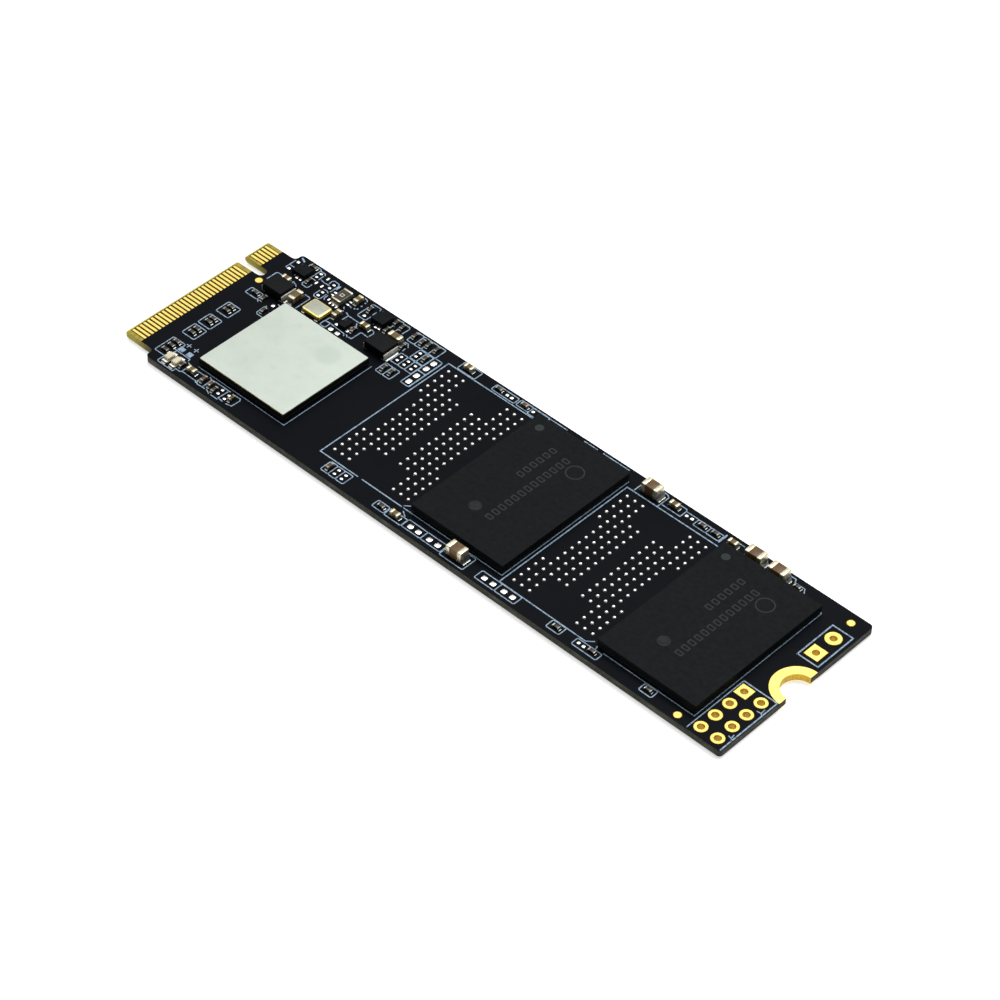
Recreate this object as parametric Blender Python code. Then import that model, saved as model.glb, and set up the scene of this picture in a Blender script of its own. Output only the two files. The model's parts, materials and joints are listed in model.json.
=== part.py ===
"""Solid state drive: a bare M.2 2280 card with an M-key edge connector.

Layout numbers are board millimetres: x runs from the connector edge to the screw end, y across the
board from its centre line, z up from the underside.  Every mesh is made in metres, with the world
origin on the underside, at the middle of the card.
"""
import math

import bmesh
import bpy
from mathutils import Vector

MM = 0.001
GAP = 0.01                    # air between two pieces that touch on the real card
ARC_STEPS = 6                 # segments of a small rounded corner
OVERCUT = 1.0                 # how far a cutter reaches past what it cuts

# ---- board ------------------------------------------------------------------------------------
BOARD_LENGTH = 80.0
BOARD_WIDTH = 22.0
BOARD_THICKNESS = 0.8
BOARD_CORNER = 0.4
TONGUE_LENGTH = 4.15
TONGUE_WIDTH = 19.85
TONGUE_FILLET = 0.5
TONGUE_CORNER = 0.15
KEY_CENTRE_Y = 6.125
KEY_WIDTH = 1.2
KEY_DEPTH = 3.6
BEVEL_LENGTH = 0.3
BEVEL_DROP = 0.15

# ---- gold edge contacts -----------------------------------------------------------------------
CONTACT_PITCH = 0.5
CONTACT_WIDTH = 0.35
CONTACT_START = 0.4
CONTACT_END = 2.3
CONTACT_STRIP = 0.18          # strip under the solder mask that joins the contacts of one group
PLATING = 0.03
TOP_MAIN = (-9.25, 29)        # first contact's y, number of contacts
TOP_SHORT = (7.25, 5)
BOTTOM_MAIN = (-9.0, 29)
BOTTOM_SHORT = (7.5, 4)

# ---- screw end --------------------------------------------------------------------------------
SCREW_RADIUS = 1.75
RING_RADIUS = 2.75
RING_WALL = 0.04
RING_STEPS = 20

# ---- plated test holes (x, y) -----------------------------------------------------------------
HOLE_RADIUS = 0.4
HOLE_STEPS = 12
TEST_HOLES = [(78.3, 7.1), (78.3, 4.55), (76.75, -3.85)] + [
    (x, y) for x in (76.75, 78.75) for y in (-5.9, -7.9, -9.9)] + [(78.75, -3.85)]

# ---- ball grid packages -----------------------------------------------------------------------
BALL_HEIGHT = 0.2
BALL_WEB = 0.05               # sheet that joins the tops of one package's balls
BALL_SHARE = 0.27             # space kept on each side of a ball, as a share of the pitch
SUBSTRATE_HEIGHT = 0.22
DIE_CLEARANCE = 0.03

CONTROLLER_CENTRE = (15.1, -2.3)
CONTROLLER_SIZE = (12.0, 12.0)
CONTROLLER_MOULD = 0.42
CONTROLLER_BALLS = (13, 13, 0.8)      # columns, rows, pitch
CONTROLLER_DIE = (7.0, 7.0)
CONTROLLER_DIE_HEIGHT = 0.2
SPREADER_HEIGHT = 0.15
SPREADER_INSET = 0.05
SPREADER_BEVEL = 0.03

MEMORY_CENTRES = [(44.8, 0.55), (69.45, -0.2)]
MEMORY_SIZE = (12.0, 18.0)
MEMORY_MOULD = 0.67
MEMORY_BALLS = (11, 17, 1.0)
MEMORY_DIE_MARGIN = 1.5
MEMORY_DIE_HEIGHT = 0.4

# ---- crystal ----------------------------------------------------------------------------------
CRYSTAL_CENTRE = (11.55, 5.78)
CRYSTAL_SIZE = (2.5, 2.0)
CRYSTAL_BASE = 0.3
CRYSTAL_RING = 0.12
CRYSTAL_LID = 0.06
CRYSTAL_WALL = 0.25
CRYSTAL_POCKET = 0.16
CRYSTAL_BLANK = 0.05          # thickness of the quartz
CRYSTAL_MARGIN = 0.1          # air round the quartz
CRYSTAL_LID_INSET = 0.05
CRYSTAL_LID_BEVEL = 0.02

# ---- inductors --------------------------------------------------------------------------------
INDUCTOR_CENTRES = [(6.6, 5.2), (20.25, 6.2)]
INDUCTOR_SIZE = (2.9, 2.15, 1.1)
INDUCTOR_TERMINAL = 0.45      # length of the foot under the core
INDUCTOR_PLATE = 0.1
INDUCTOR_RISE = 0.935         # how far a terminal is folded up the core's end
INDUCTOR_SETBACK = 0.05       # from the core's sides to its terminals
INDUCTOR_POCKET = (1.6, 0.6)  # width and height of the room for the coil
COIL_RADII = (0.42, 0.72)
COIL_HEIGHT = 0.5
COIL_STEPS = 20

# ---- small chips: name, centre, size ----------------------------------------------------------
CHIPS = [
    ("converter_chip_1", (6.3, 8.97), (1.75, 1.5, 0.58)),
    ("converter_chip_2", (17.4, 9.35), (1.65, 1.75, 0.68)),
    ("load_switch_chip", (15.2, 6.2), (1.0, 1.2, 0.5)),
]
CHIP_BEVEL = 0.03
FUSE_CENTRE = (12.0, 8.95)
FUSE_SIZE = (2.0, 1.2, 0.55)

# ---- two-terminal parts: centre, "x" or "y" for the direction between the terminals ----------
SIZE_0805 = (2.0, 1.25, 1.25)
SIZE_0603 = (1.6, 0.8, 0.8)
SIZE_0402 = (1.05, 0.6, 0.55)
SIZE_LED = (1.6, 0.85, 0.5)
CAPACITORS_0805 = [(53.5, 9.82), (66.53, 9.82), (69.5, 9.67), (46.05, -9.65)]
CAPACITORS_0603 = [((8.72, 5.53), "y"), ((20.35, 8.2), "x")]
CAPACITORS_0402 = [
    ((5.93, 6.94), "x"), ((16.8, 7.4), "x"), ((13.5, 9.8), "y"), ((13.45, 6.7), "y"),
    ((9.35, -9.52), "x"), ((28.66, 10.24), "x"), ((38.13, -9.92), "x"), ((56.25, 9.93), "x"),
    ((63.65, 9.91), "x")]
LEDS = [(6.25, -9.65), (7.3, -9.65)]
TERMINAL_SHARE = 0.24         # length of each terminal as a share of the part's length
TERMINAL_STEP = 0.03          # how far a terminal stands proud of the body


# ---- materials --------------------------------------------------------------------------------
def material(name, colour, roughness, metallic=0.0):
    """A plain Principled material; the colour is linear RGB."""
    made = bpy.data.materials.new(name)
    made.use_nodes = True
    made.diffuse_color = (*colour, 1.0)
    shader = made.node_tree.nodes["Principled BSDF"]
    shader.inputs["Base Color"].default_value = (*colour, 1.0)
    shader.inputs["Roughness"].default_value = roughness
    shader.inputs["Metallic"].default_value = metallic
    return made


def make_materials():
    """Every finish on the card, by name."""
    return {
        "solder_mask": material("solder_mask", (0.012, 0.012, 0.018), 0.45),
        "gold": material("gold", (0.90, 0.66, 0.22), 0.28, 1.0),
        "mould": material("mould", (0.018, 0.020, 0.022), 0.62),
        "substrate": material("substrate", (0.035, 0.06, 0.03), 0.55),
        "silicon": material("silicon", (0.12, 0.13, 0.16), 0.2, 0.6),
        "solder": material("solder", (0.78, 0.78, 0.76), 0.3, 1.0),
        "spreader": material("spreader", (0.66, 0.71, 0.66), 0.4, 1.0),
        "ceramic": material("ceramic", (0.05, 0.04, 0.03), 0.5),
        "quartz": material("quartz", (0.8, 0.85, 0.85), 0.1),
        "lid": material("lid", (0.6, 0.58, 0.5), 0.35, 1.0),
        "ferrite": material("ferrite", (0.015, 0.015, 0.017), 0.6),
        "copper": material("copper", (0.72, 0.30, 0.15), 0.3, 1.0),
        "capacitor": material("capacitor", (0.22, 0.11, 0.05), 0.45),
        "capacitor_pale": material("capacitor_pale", (0.26, 0.18, 0.09), 0.45),
        "led_resin": material("led_resin", (0.72, 0.68, 0.5), 0.4),
    }


# ---- making objects ---------------------------------------------------------------------------
def world(x, y, z):
    """Board millimetres to world metres."""
    return Vector(((x - BOARD_LENGTH / 2) * MM, y * MM, z * MM))


def finish(name, mesh_data, finish_material, smooth_angle=None):
    """An object in the scene from a bmesh built in board millimetres."""
    for vertex in mesh_data.verts:
        vertex.co = world(*vertex.co)
    bmesh.ops.recalc_face_normals(mesh_data, faces=mesh_data.faces)
    mesh = bpy.data.meshes.new(name)
    mesh_data.to_mesh(mesh)
    mesh_data.free()
    mesh.materials.append(finish_material)
    if smooth_angle is not None:
        mesh.shade_smooth()
        mesh.set_sharp_from_angle(angle=smooth_angle)
    made = bpy.data.objects.new(name, mesh)
    bpy.context.scene.collection.objects.link(made)
    return made


def cut(target, cutter):
    """Subtract a cutter from an object."""
    cutter.hide_render = True
    cutter.display_type = "WIRE"
    boolean = target.modifiers.new(cutter.name, "BOOLEAN")
    boolean.operation = "DIFFERENCE"
    boolean.solver = "EXACT"
    boolean.object = cutter


def add_box(mesh_data, low, high):
    """A closed box between two corners."""
    made = bmesh.ops.create_cube(mesh_data, size=1.0)["verts"]
    for vertex in made:
        vertex.co = Vector([
            (low[axis] + high[axis]) / 2 + vertex.co[axis] * (high[axis] - low[axis])
            for axis in range(3)])
    return made


def box(name, low, high, finish_material, bevel=0.0):
    """One box node, with its edges bevelled if asked."""
    mesh_data = bmesh.new()
    add_box(mesh_data, low, high)
    if bevel:
        bmesh.ops.bevel(mesh_data, geom=list(mesh_data.edges), offset=bevel, segments=1,
                        affect="EDGES", clamp_overlap=True)
    return finish(name, mesh_data, finish_material)


def centred_box(name, centre, size, bottom, height, finish_material, bevel=0.0):
    """A box given by its plan centre, plan size, underside and height."""
    low = (centre[0] - size[0] / 2, centre[1] - size[1] / 2, bottom)
    high = (centre[0] + size[0] / 2, centre[1] + size[1] / 2, bottom + height)
    return box(name, low, high, finish_material, bevel)


def pocketed_box(name, low, high, side, wall, depth, finish_material):
    """A box with a pocket sunk into the face that looks along side."""
    mesh_data = bmesh.new()
    add_box(mesh_data, low, high)
    mesh_data.normal_update()
    direction = Vector(side)
    face = max(mesh_data.faces, key=lambda each: each.normal.dot(direction))
    bmesh.ops.inset_region(mesh_data, faces=[face], thickness=wall, use_even_offset=True)
    sunk = bmesh.ops.extrude_discrete_faces(mesh_data, faces=[face])["faces"]
    bmesh.ops.translate(mesh_data, verts=sunk[0].verts, vec=direction * -depth)
    return finish(name, mesh_data, finish_material)


def prism(name, outline, bottom, top, finish_material):
    """A flat outline, given as (x, y) points, raised from bottom to top."""
    mesh_data = bmesh.new()
    base = mesh_data.faces.new([mesh_data.verts.new((x, y, bottom)) for x, y in outline])
    raised = bmesh.ops.extrude_face_region(mesh_data, geom=[base])["geom"]
    bmesh.ops.translate(
        mesh_data, vec=(0, 0, top - bottom),
        verts=[each for each in raised if isinstance(each, bmesh.types.BMVert)])
    return finish(name, mesh_data, finish_material)


def arc(centre, radius, start, end, steps):
    """Points along an arc, both ends included; the angles are in degrees."""
    angles = [math.radians(start + (end - start) * step / steps) for step in range(steps + 1)]
    return [(centre[0] + radius * math.cos(a), centre[1] + radius * math.sin(a)) for a in angles]


def rounded(corners):
    """An outline through (x, y, radius) corners, each turned by an arc of its own radius."""
    outline = []
    for index, (x, y, radius) in enumerate(corners):
        here = Vector((x, y))
        if not radius:
            outline.append((x, y))
            continue
        before = (Vector(corners[index - 1][:2]) - here).normalized()
        after = (Vector(corners[(index + 1) % len(corners)][:2]) - here).normalized()
        half_angle = before.angle(after) / 2
        centre = here + (before + after).normalized() * (radius / math.sin(half_angle))
        reach = radius / math.tan(half_angle)
        first = here + before * reach - centre
        last = here + after * reach - centre
        turn = first.angle_signed(last)
        for step in range(ARC_STEPS + 1):
            angle = math.atan2(first.y, first.x) - turn * step / ARC_STEPS
            outline.append((centre.x + radius * math.cos(angle), centre.y + radius * math.sin(angle)))
    return outline


# ---- board, contacts and ring -----------------------------------------------------------------
def board_outline():
    """The card's outline, anticlockwise, with the key notch and the half hole."""
    half = BOARD_WIDTH / 2
    tongue = TONGUE_WIDTH / 2
    key_low = KEY_CENTRE_Y - KEY_WIDTH / 2
    key_high = KEY_CENTRE_Y + KEY_WIDTH / 2
    key_round = KEY_WIDTH / 2 - GAP
    bore = SCREW_RADIUS + RING_WALL + GAP
    lower = rounded([
        (0, key_low, 0), (0, -tongue, TONGUE_CORNER), (TONGUE_LENGTH, -tongue, TONGUE_FILLET),
        (TONGUE_LENGTH, -half, BOARD_CORNER), (BOARD_LENGTH, -half, BOARD_CORNER),
        (BOARD_LENGTH, 0, 0)])[:-1]
    upper = rounded([
        (BOARD_LENGTH, 0, 0), (BOARD_LENGTH, half, BOARD_CORNER),
        (TONGUE_LENGTH, half, BOARD_CORNER), (TONGUE_LENGTH, tongue, TONGUE_FILLET),
        (0, tongue, TONGUE_CORNER), (0, key_high, 0), (KEY_DEPTH, key_high, key_round),
        (KEY_DEPTH, key_low, key_round), (0, key_low, 0)])[1:-1]
    return lower + arc((BOARD_LENGTH, 0), bore, 270, 90, RING_STEPS) + upper


def edge_cutter(name, face_z, outward):
    """The recess for the contacts and the bevel of the connector edge, on one face."""
    sunk = face_z - outward * (PLATING + GAP)
    clear = face_z + outward * OVERCUT
    drop = BEVEL_DROP * (1 + OVERCUT / BEVEL_LENGTH)
    profile = [(-OVERCUT, clear), (CONTACT_END + GAP, clear), (CONTACT_END + GAP, sunk),
               (BEVEL_LENGTH, sunk), (-OVERCUT, sunk - outward * drop)]
    mesh_data = bmesh.new()
    width = BOARD_WIDTH
    side = mesh_data.faces.new([mesh_data.verts.new((x, -width, z)) for x, z in profile])
    raised = bmesh.ops.extrude_face_region(mesh_data, geom=[side])["geom"]
    bmesh.ops.translate(
        mesh_data, vec=(0, 2 * width, 0),
        verts=[each for each in raised if isinstance(each, bmesh.types.BMVert)])
    return finish(name, mesh_data, None)


def drum(mesh_data, centre, radius, bottom, top, steps):
    """A closed upright cylinder added to a mesh."""
    made = bmesh.ops.create_cone(
        mesh_data, cap_ends=True, segments=steps, radius1=radius, radius2=radius,
        depth=top - bottom)["verts"]
    bmesh.ops.translate(mesh_data, verts=made, vec=(*centre, (bottom + top) / 2))


def make_board(finishes):
    """The laminate with its recesses for the plating and its test holes."""
    board = prism("circuit_board", board_outline(), 0.0, BOARD_THICKNESS, finishes["solder_mask"])
    cut(board, edge_cutter("cut_top_edge", BOARD_THICKNESS, 1))
    cut(board, edge_cutter("cut_bottom_edge", 0.0, -1))
    holes = bmesh.new()
    for x, y in TEST_HOLES:
        drum(holes, (x, y), HOLE_RADIUS, -OVERCUT, BOARD_THICKNESS + OVERCUT, HOLE_STEPS)
    cut(board, finish("cut_test_holes", holes, None))
    sunk = PLATING + GAP
    rings = bmesh.new()
    for bottom, top in ((BOARD_THICKNESS - sunk, BOARD_THICKNESS + OVERCUT), (-OVERCUT, sunk)):
        drum(rings, (BOARD_LENGTH, 0), RING_RADIUS + GAP, bottom, top, 2 * RING_STEPS)
    cut(board, finish("cut_ring_recess", rings, None))


def contact_comb(name, first_y, count, bottom, finishes):
    """One group of edge contacts, joined by the strip that runs under the solder mask."""
    half = CONTACT_WIDTH / 2
    strip = CONTACT_END - CONTACT_STRIP
    last_y = first_y + (count - 1) * CONTACT_PITCH
    outline = [(CONTACT_END, last_y + half), (CONTACT_END, first_y - half)]
    for index in range(count):
        y = first_y + index * CONTACT_PITCH
        if index:
            outline.append((strip, y - half))
        outline += [(CONTACT_START, y - half), (CONTACT_START, y + half)]
        if index < count - 1:
            outline.append((strip, y + half))
    return prism(name, outline, bottom, bottom + PLATING, finishes["gold"])


def make_contacts(finishes):
    """The four groups of edge contacts."""
    top = BOARD_THICKNESS - PLATING
    contact_comb("edge_contacts_top_main", *TOP_MAIN, top, finishes)
    contact_comb("edge_contacts_top_short", *TOP_SHORT, top, finishes)
    contact_comb("edge_contacts_bottom_main", *BOTTOM_MAIN, 0.0, finishes)
    contact_comb("edge_contacts_bottom_short", *BOTTOM_SHORT, 0.0, finishes)


def make_mount_ring(finishes):
    """The plated half ring: an annulus on each face, joined by the plated wall of the half hole."""
    wall = SCREW_RADIUS + RING_WALL
    top = BOARD_THICKNESS
    section = [
        (RING_RADIUS, top), (SCREW_RADIUS, top), (SCREW_RADIUS, 0.0), (RING_RADIUS, 0.0),
        (RING_RADIUS, PLATING), (wall, PLATING), (wall, top - PLATING), (RING_RADIUS, top - PLATING)]
    mesh_data = bmesh.new()
    rows = []
    for step in range(RING_STEPS + 1):
        angle = math.radians(90 + 180 * step / RING_STEPS)
        rows.append([
            mesh_data.verts.new((BOARD_LENGTH + r * math.cos(angle), r * math.sin(angle), z))
            for r, z in section])
    count = len(section)
    for row, after in zip(rows, rows[1:]):
        for index in range(count):
            following = (index + 1) % count
            mesh_data.faces.new((row[index], row[following], after[following], after[index]))
    mesh_data.faces.new(rows[0])
    mesh_data.faces.new(rows[-1])
    finish("mount_ring", mesh_data, finishes["gold"])


# ---- ball grid packages -----------------------------------------------------------------------
def memory_ball(column, row):
    """Whether the 132-ball pattern has a ball here; both count from the pattern's centre."""
    if abs(column) == 5:
        return abs(row) >= 4
    if abs(column) >= 3:
        return True
    return column != 0 and abs(row) <= 5


def every_ball(column, row):
    """A full grid."""
    return True


def ball_field(name, centre, grid, has_ball, finishes):
    """Solder balls under a package, as tapered bumps below one thin web."""
    columns, rows, pitch = grid
    web = BOARD_THICKNESS + GAP + BALL_HEIGHT - BALL_WEB
    left = centre[0] - columns * pitch / 2
    front = centre[1] - rows * pitch / 2
    mesh_data = bmesh.new()
    corners = [[mesh_data.verts.new((left + i * pitch, front + j * pitch, web))
                for j in range(rows + 1)] for i in range(columns + 1)]
    cells = {}
    for i in range(columns):
        for j in range(rows):
            cells[i - columns // 2, j - rows // 2] = mesh_data.faces.new(
                (corners[i][j], corners[i][j + 1], corners[i + 1][j + 1], corners[i + 1][j]))
    raised = bmesh.ops.extrude_face_region(
        mesh_data, geom=list(cells.values()), use_keep_orig=True)["geom"]
    bmesh.ops.translate(
        mesh_data, vec=(0, 0, BALL_WEB),
        verts=[each for each in raised if isinstance(each, bmesh.types.BMVert)])
    bumps = [face for place, face in cells.items() if has_ball(*place)]
    bmesh.ops.inset_individual(mesh_data, faces=bumps, thickness=pitch * BALL_SHARE,
                               use_even_offset=True)
    tips = {vertex for bump in bumps for vertex in bump.verts}
    bmesh.ops.translate(mesh_data, vec=(0, 0, BALL_WEB - BALL_HEIGHT), verts=list(tips))
    finish(name, mesh_data, finishes["solder"])


def make_package(name, centre, size, mould_height, die, balls, finishes):
    """Balls, substrate, silicon and mould cap of one package; returns the cap's top."""
    ball_field(name + "_solder_balls", centre, *balls, finishes)
    substrate = BOARD_THICKNESS + BALL_HEIGHT + 2 * GAP
    centred_box(name + "_substrate", centre, size, substrate, SUBSTRATE_HEIGHT,
                finishes["substrate"])
    die_name, die_size, die_height = die
    deck = substrate + SUBSTRATE_HEIGHT + GAP
    centred_box(name + die_name, centre, die_size, deck, die_height, finishes["silicon"])
    wall = (size[0] - die_size[0]) / 2 - DIE_CLEARANCE
    low = (centre[0] - size[0] / 2, centre[1] - size[1] / 2, deck)
    high = (centre[0] + size[0] / 2, centre[1] + size[1] / 2, deck + mould_height)
    pocketed_box(name + "_mould_cap", low, high, (0, 0, -1), wall, die_height + DIE_CLEARANCE,
                 finishes["mould"])
    return deck + mould_height


def make_packages(finishes):
    """The controller with its heat spreader, and the two memories."""
    top = make_package("controller", CONTROLLER_CENTRE, CONTROLLER_SIZE, CONTROLLER_MOULD,
                       ("_die", CONTROLLER_DIE, CONTROLLER_DIE_HEIGHT),
                       (CONTROLLER_BALLS, every_ball), finishes)
    spreader = [side - 2 * SPREADER_INSET for side in CONTROLLER_SIZE]
    centred_box("controller_heat_spreader", CONTROLLER_CENTRE, spreader, top + GAP,
                SPREADER_HEIGHT, finishes["spreader"], SPREADER_BEVEL)
    die_size = [side - 2 * MEMORY_DIE_MARGIN for side in MEMORY_SIZE]
    for number, centre in enumerate(MEMORY_CENTRES, 1):
        make_package(f"memory_{number}", centre, MEMORY_SIZE, MEMORY_MOULD,
                     ("_die_stack", die_size, MEMORY_DIE_HEIGHT), (MEMORY_BALLS, memory_ball),
                     finishes)


# ---- crystal ----------------------------------------------------------------------------------
def make_crystal(finishes):
    """A ceramic tray with a quartz blank inside, a gold seal ring and a metal lid."""
    x, y = CRYSTAL_CENTRE
    half_x = CRYSTAL_SIZE[0] / 2
    half_y = CRYSTAL_SIZE[1] / 2
    bottom = BOARD_THICKNESS + GAP
    tray_top = bottom + CRYSTAL_BASE
    pocketed_box("crystal_base", (x - half_x, y - half_y, bottom), (x + half_x, y + half_y, tray_top),
                 (0, 0, 1), CRYSTAL_WALL, CRYSTAL_POCKET, finishes["ceramic"])
    blank = [side - 2 * (CRYSTAL_WALL + CRYSTAL_MARGIN) for side in CRYSTAL_SIZE]
    centred_box("crystal_blank", CRYSTAL_CENTRE, blank, tray_top - CRYSTAL_POCKET + GAP,
                CRYSTAL_BLANK, finishes["quartz"])
    ring_bottom = tray_top + GAP
    ring_top = ring_bottom + CRYSTAL_RING
    outer = [(x - half_x, y - half_y), (x + half_x, y - half_y),
             (x + half_x, y + half_y), (x - half_x, y + half_y)]
    ring = prism("crystal_seal_ring", outer, ring_bottom, ring_top, finishes["gold"])
    opening = bmesh.new()
    inner_x = half_x - CRYSTAL_WALL
    inner_y = half_y - CRYSTAL_WALL
    add_box(opening, (x - inner_x, y - inner_y, ring_bottom - OVERCUT),
            (x + inner_x, y + inner_y, ring_top + OVERCUT))
    cut(ring, finish("cut_seal_ring", opening, None))
    lid = [side - 2 * CRYSTAL_LID_INSET for side in CRYSTAL_SIZE]
    centred_box("crystal_lid", CRYSTAL_CENTRE, lid, ring_top + GAP, CRYSTAL_LID, finishes["lid"],
                CRYSTAL_LID_BEVEL)


# ---- inductors --------------------------------------------------------------------------------
def make_coil(name, centre, bottom, finishes):
    """The winding inside an inductor core, as one flat ring."""
    inner, outer = COIL_RADII
    top = bottom + COIL_HEIGHT
    section = [(inner, bottom), (outer, bottom), (outer, top), (inner, top)]
    count = len(section)
    mesh_data = bmesh.new()
    rows = []
    for step in range(COIL_STEPS):
        angle = 2 * math.pi * step / COIL_STEPS
        rows.append([mesh_data.verts.new((centre[0] + r * math.cos(angle),
                                          centre[1] + r * math.sin(angle), z))
                     for r, z in section])
    for row, after in zip(rows, rows[1:] + rows[:1]):
        for index in range(count):
            following = (index + 1) % count
            mesh_data.faces.new((row[index], row[following], after[following], after[index]))
    finish(name, mesh_data, finishes["copper"], math.radians(40))


def make_terminal(name, centre, side, finishes):
    """An L-shaped end plate of an inductor; side is -1 at its left end and 1 at its right."""
    length, width = INDUCTOR_SIZE[:2]
    outer = centre[0] + side * length / 2
    inner = outer - side * INDUCTOR_PLATE
    toe = outer - side * INDUCTOR_TERMINAL
    bottom = BOARD_THICKNESS + GAP
    foot = bottom + INDUCTOR_PLATE
    top = bottom + INDUCTOR_RISE
    half = width / 2 - INDUCTOR_SETBACK
    profile = [(outer, bottom), (outer, top), (inner, top), (inner, foot), (toe, foot), (toe, bottom)]
    mesh_data = bmesh.new()
    face = mesh_data.faces.new(
        [mesh_data.verts.new((x, centre[1] - half, z)) for x, z in profile])
    raised = bmesh.ops.extrude_face_region(mesh_data, geom=[face])["geom"]
    bmesh.ops.translate(
        mesh_data, vec=(0, 2 * half, 0),
        verts=[each for each in raised if isinstance(each, bmesh.types.BMVert)])
    finish(name, mesh_data, finishes["solder"])


def make_inductors(finishes):
    """Two moulded power inductors: core, coil and two terminals each."""
    length, width, height = INDUCTOR_SIZE
    for number, (x, y) in enumerate(INDUCTOR_CENTRES, 1):
        name = f"inductor_{number}"
        bottom = BOARD_THICKNESS + 2 * GAP + INDUCTOR_PLATE
        top = BOARD_THICKNESS + GAP + height
        half_x = length / 2 - INDUCTOR_PLATE - GAP
        room, pocket = INDUCTOR_POCKET
        wall = (width - room) / 2
        pocketed_box(name + "_core", (x - half_x, y - width / 2, bottom),
                     (x + half_x, y + width / 2, top), (0, 0, -1), wall, pocket,
                     finishes["ferrite"])
        make_coil(name + "_coil", (x, y), bottom + (pocket - COIL_HEIGHT) / 2, finishes)
        make_terminal(name + "_terminal_left", (x, y), -1, finishes)
        make_terminal(name + "_terminal_right", (x, y), 1, finishes)


# ---- two-terminal parts -----------------------------------------------------------------------
def stepped_bar(name, centre, size, along, finish_material):
    """A chip component in one piece: a body whose two end terminals stand slightly proud."""
    length, width, height = size
    terminal = length * TERMINAL_SHARE
    step = TERMINAL_STEP
    bottom = BOARD_THICKNESS + GAP
    stations = [
        (-length / 2, 0.0), (-length / 2 + terminal, 0.0), (-length / 2 + terminal, step),
        (length / 2 - terminal, step), (length / 2 - terminal, 0.0), (length / 2, 0.0)]
    mesh_data = bmesh.new()
    rows = []
    for distance, shrink in stations:
        half = width / 2 - shrink
        low = bottom + shrink
        high = bottom + height - shrink
        corners = [(-half, low), (half, low), (half, high), (-half, high)]
        if along == "x":
            points = [(centre[0] + distance, centre[1] + side, z) for side, z in corners]
        else:
            points = [(centre[0] + side, centre[1] + distance, z) for side, z in corners]
        rows.append([mesh_data.verts.new(point) for point in points])
    for row, after in zip(rows, rows[1:]):
        for index in range(4):
            following = (index + 1) % 4
            mesh_data.faces.new((row[index], row[following], after[following], after[index]))
    mesh_data.faces.new(rows[0])
    mesh_data.faces.new(rows[-1])
    finish(name, mesh_data, finish_material)


def make_large_capacitor(name, centre, finishes):
    """An 0805 capacitor: a ceramic body and two plated end caps that fit over its ends."""
    length, width, height = SIZE_0805
    x, y = centre
    bottom = BOARD_THICKNESS + GAP
    top = bottom + height
    wall = TERMINAL_STEP
    depth = length * TERMINAL_SHARE
    inner = wall + GAP
    box(name + "_body", (x - length / 2 + inner, y - width / 2 + inner, bottom + inner),
        (x + length / 2 - inner, y + width / 2 - inner, top - inner), finishes["capacitor"])
    for side, label in ((-1, "left"), (1, "right")):
        outer = x + side * length / 2
        mouth = outer - side * depth
        low = (min(outer, mouth), y - width / 2, bottom)
        high = (max(outer, mouth), y + width / 2, top)
        pocketed_box(f"{name}_terminal_{label}", low, high, (-side, 0, 0), wall, depth - wall,
                     finishes["solder"])


def make_small_parts(finishes):
    """Chips, fuse, capacitors and LEDs."""
    for name, centre, size in CHIPS:
        centred_box(name, centre, size[:2], BOARD_THICKNESS + GAP, size[2], finishes["mould"],
                    CHIP_BEVEL)
    stepped_bar("resettable_fuse", FUSE_CENTRE, FUSE_SIZE, "y", finishes["ferrite"])
    for number, centre in enumerate(CAPACITORS_0805, 1):
        make_large_capacitor(f"capacitor_0805_{number}", centre, finishes)
    for number, (centre, along) in enumerate(CAPACITORS_0603, 1):
        stepped_bar(f"capacitor_0603_{number}", centre, SIZE_0603, along, finishes["capacitor_pale"])
    for number, (centre, along) in enumerate(CAPACITORS_0402, 1):
        stepped_bar(f"capacitor_0402_{number}", centre, SIZE_0402, along, finishes["capacitor_pale"])
    for number, centre in enumerate(LEDS, 1):
        stepped_bar(f"status_led_{number}", centre, SIZE_LED, "y", finishes["led_resin"])


def main():
    for old in list(bpy.data.objects):
        bpy.data.objects.remove(old, do_unlink=True)
    finishes = make_materials()
    make_board(finishes)
    make_contacts(finishes)
    make_mount_ring(finishes)
    make_packages(finishes)
    make_crystal(finishes)
    make_inductors(finishes)
    make_small_parts(finishes)


main()
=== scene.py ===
"""Looks of the solid state drive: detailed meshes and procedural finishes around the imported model.

Layout numbers are board millimetres, as in the part's own source: x from the connector edge to the
screw end, y across the card, z up from its underside.  Meshes are made in metres.
"""
import json
import math

import bmesh
import bpy
from mathutils import Matrix, Quaternion, Vector

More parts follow.
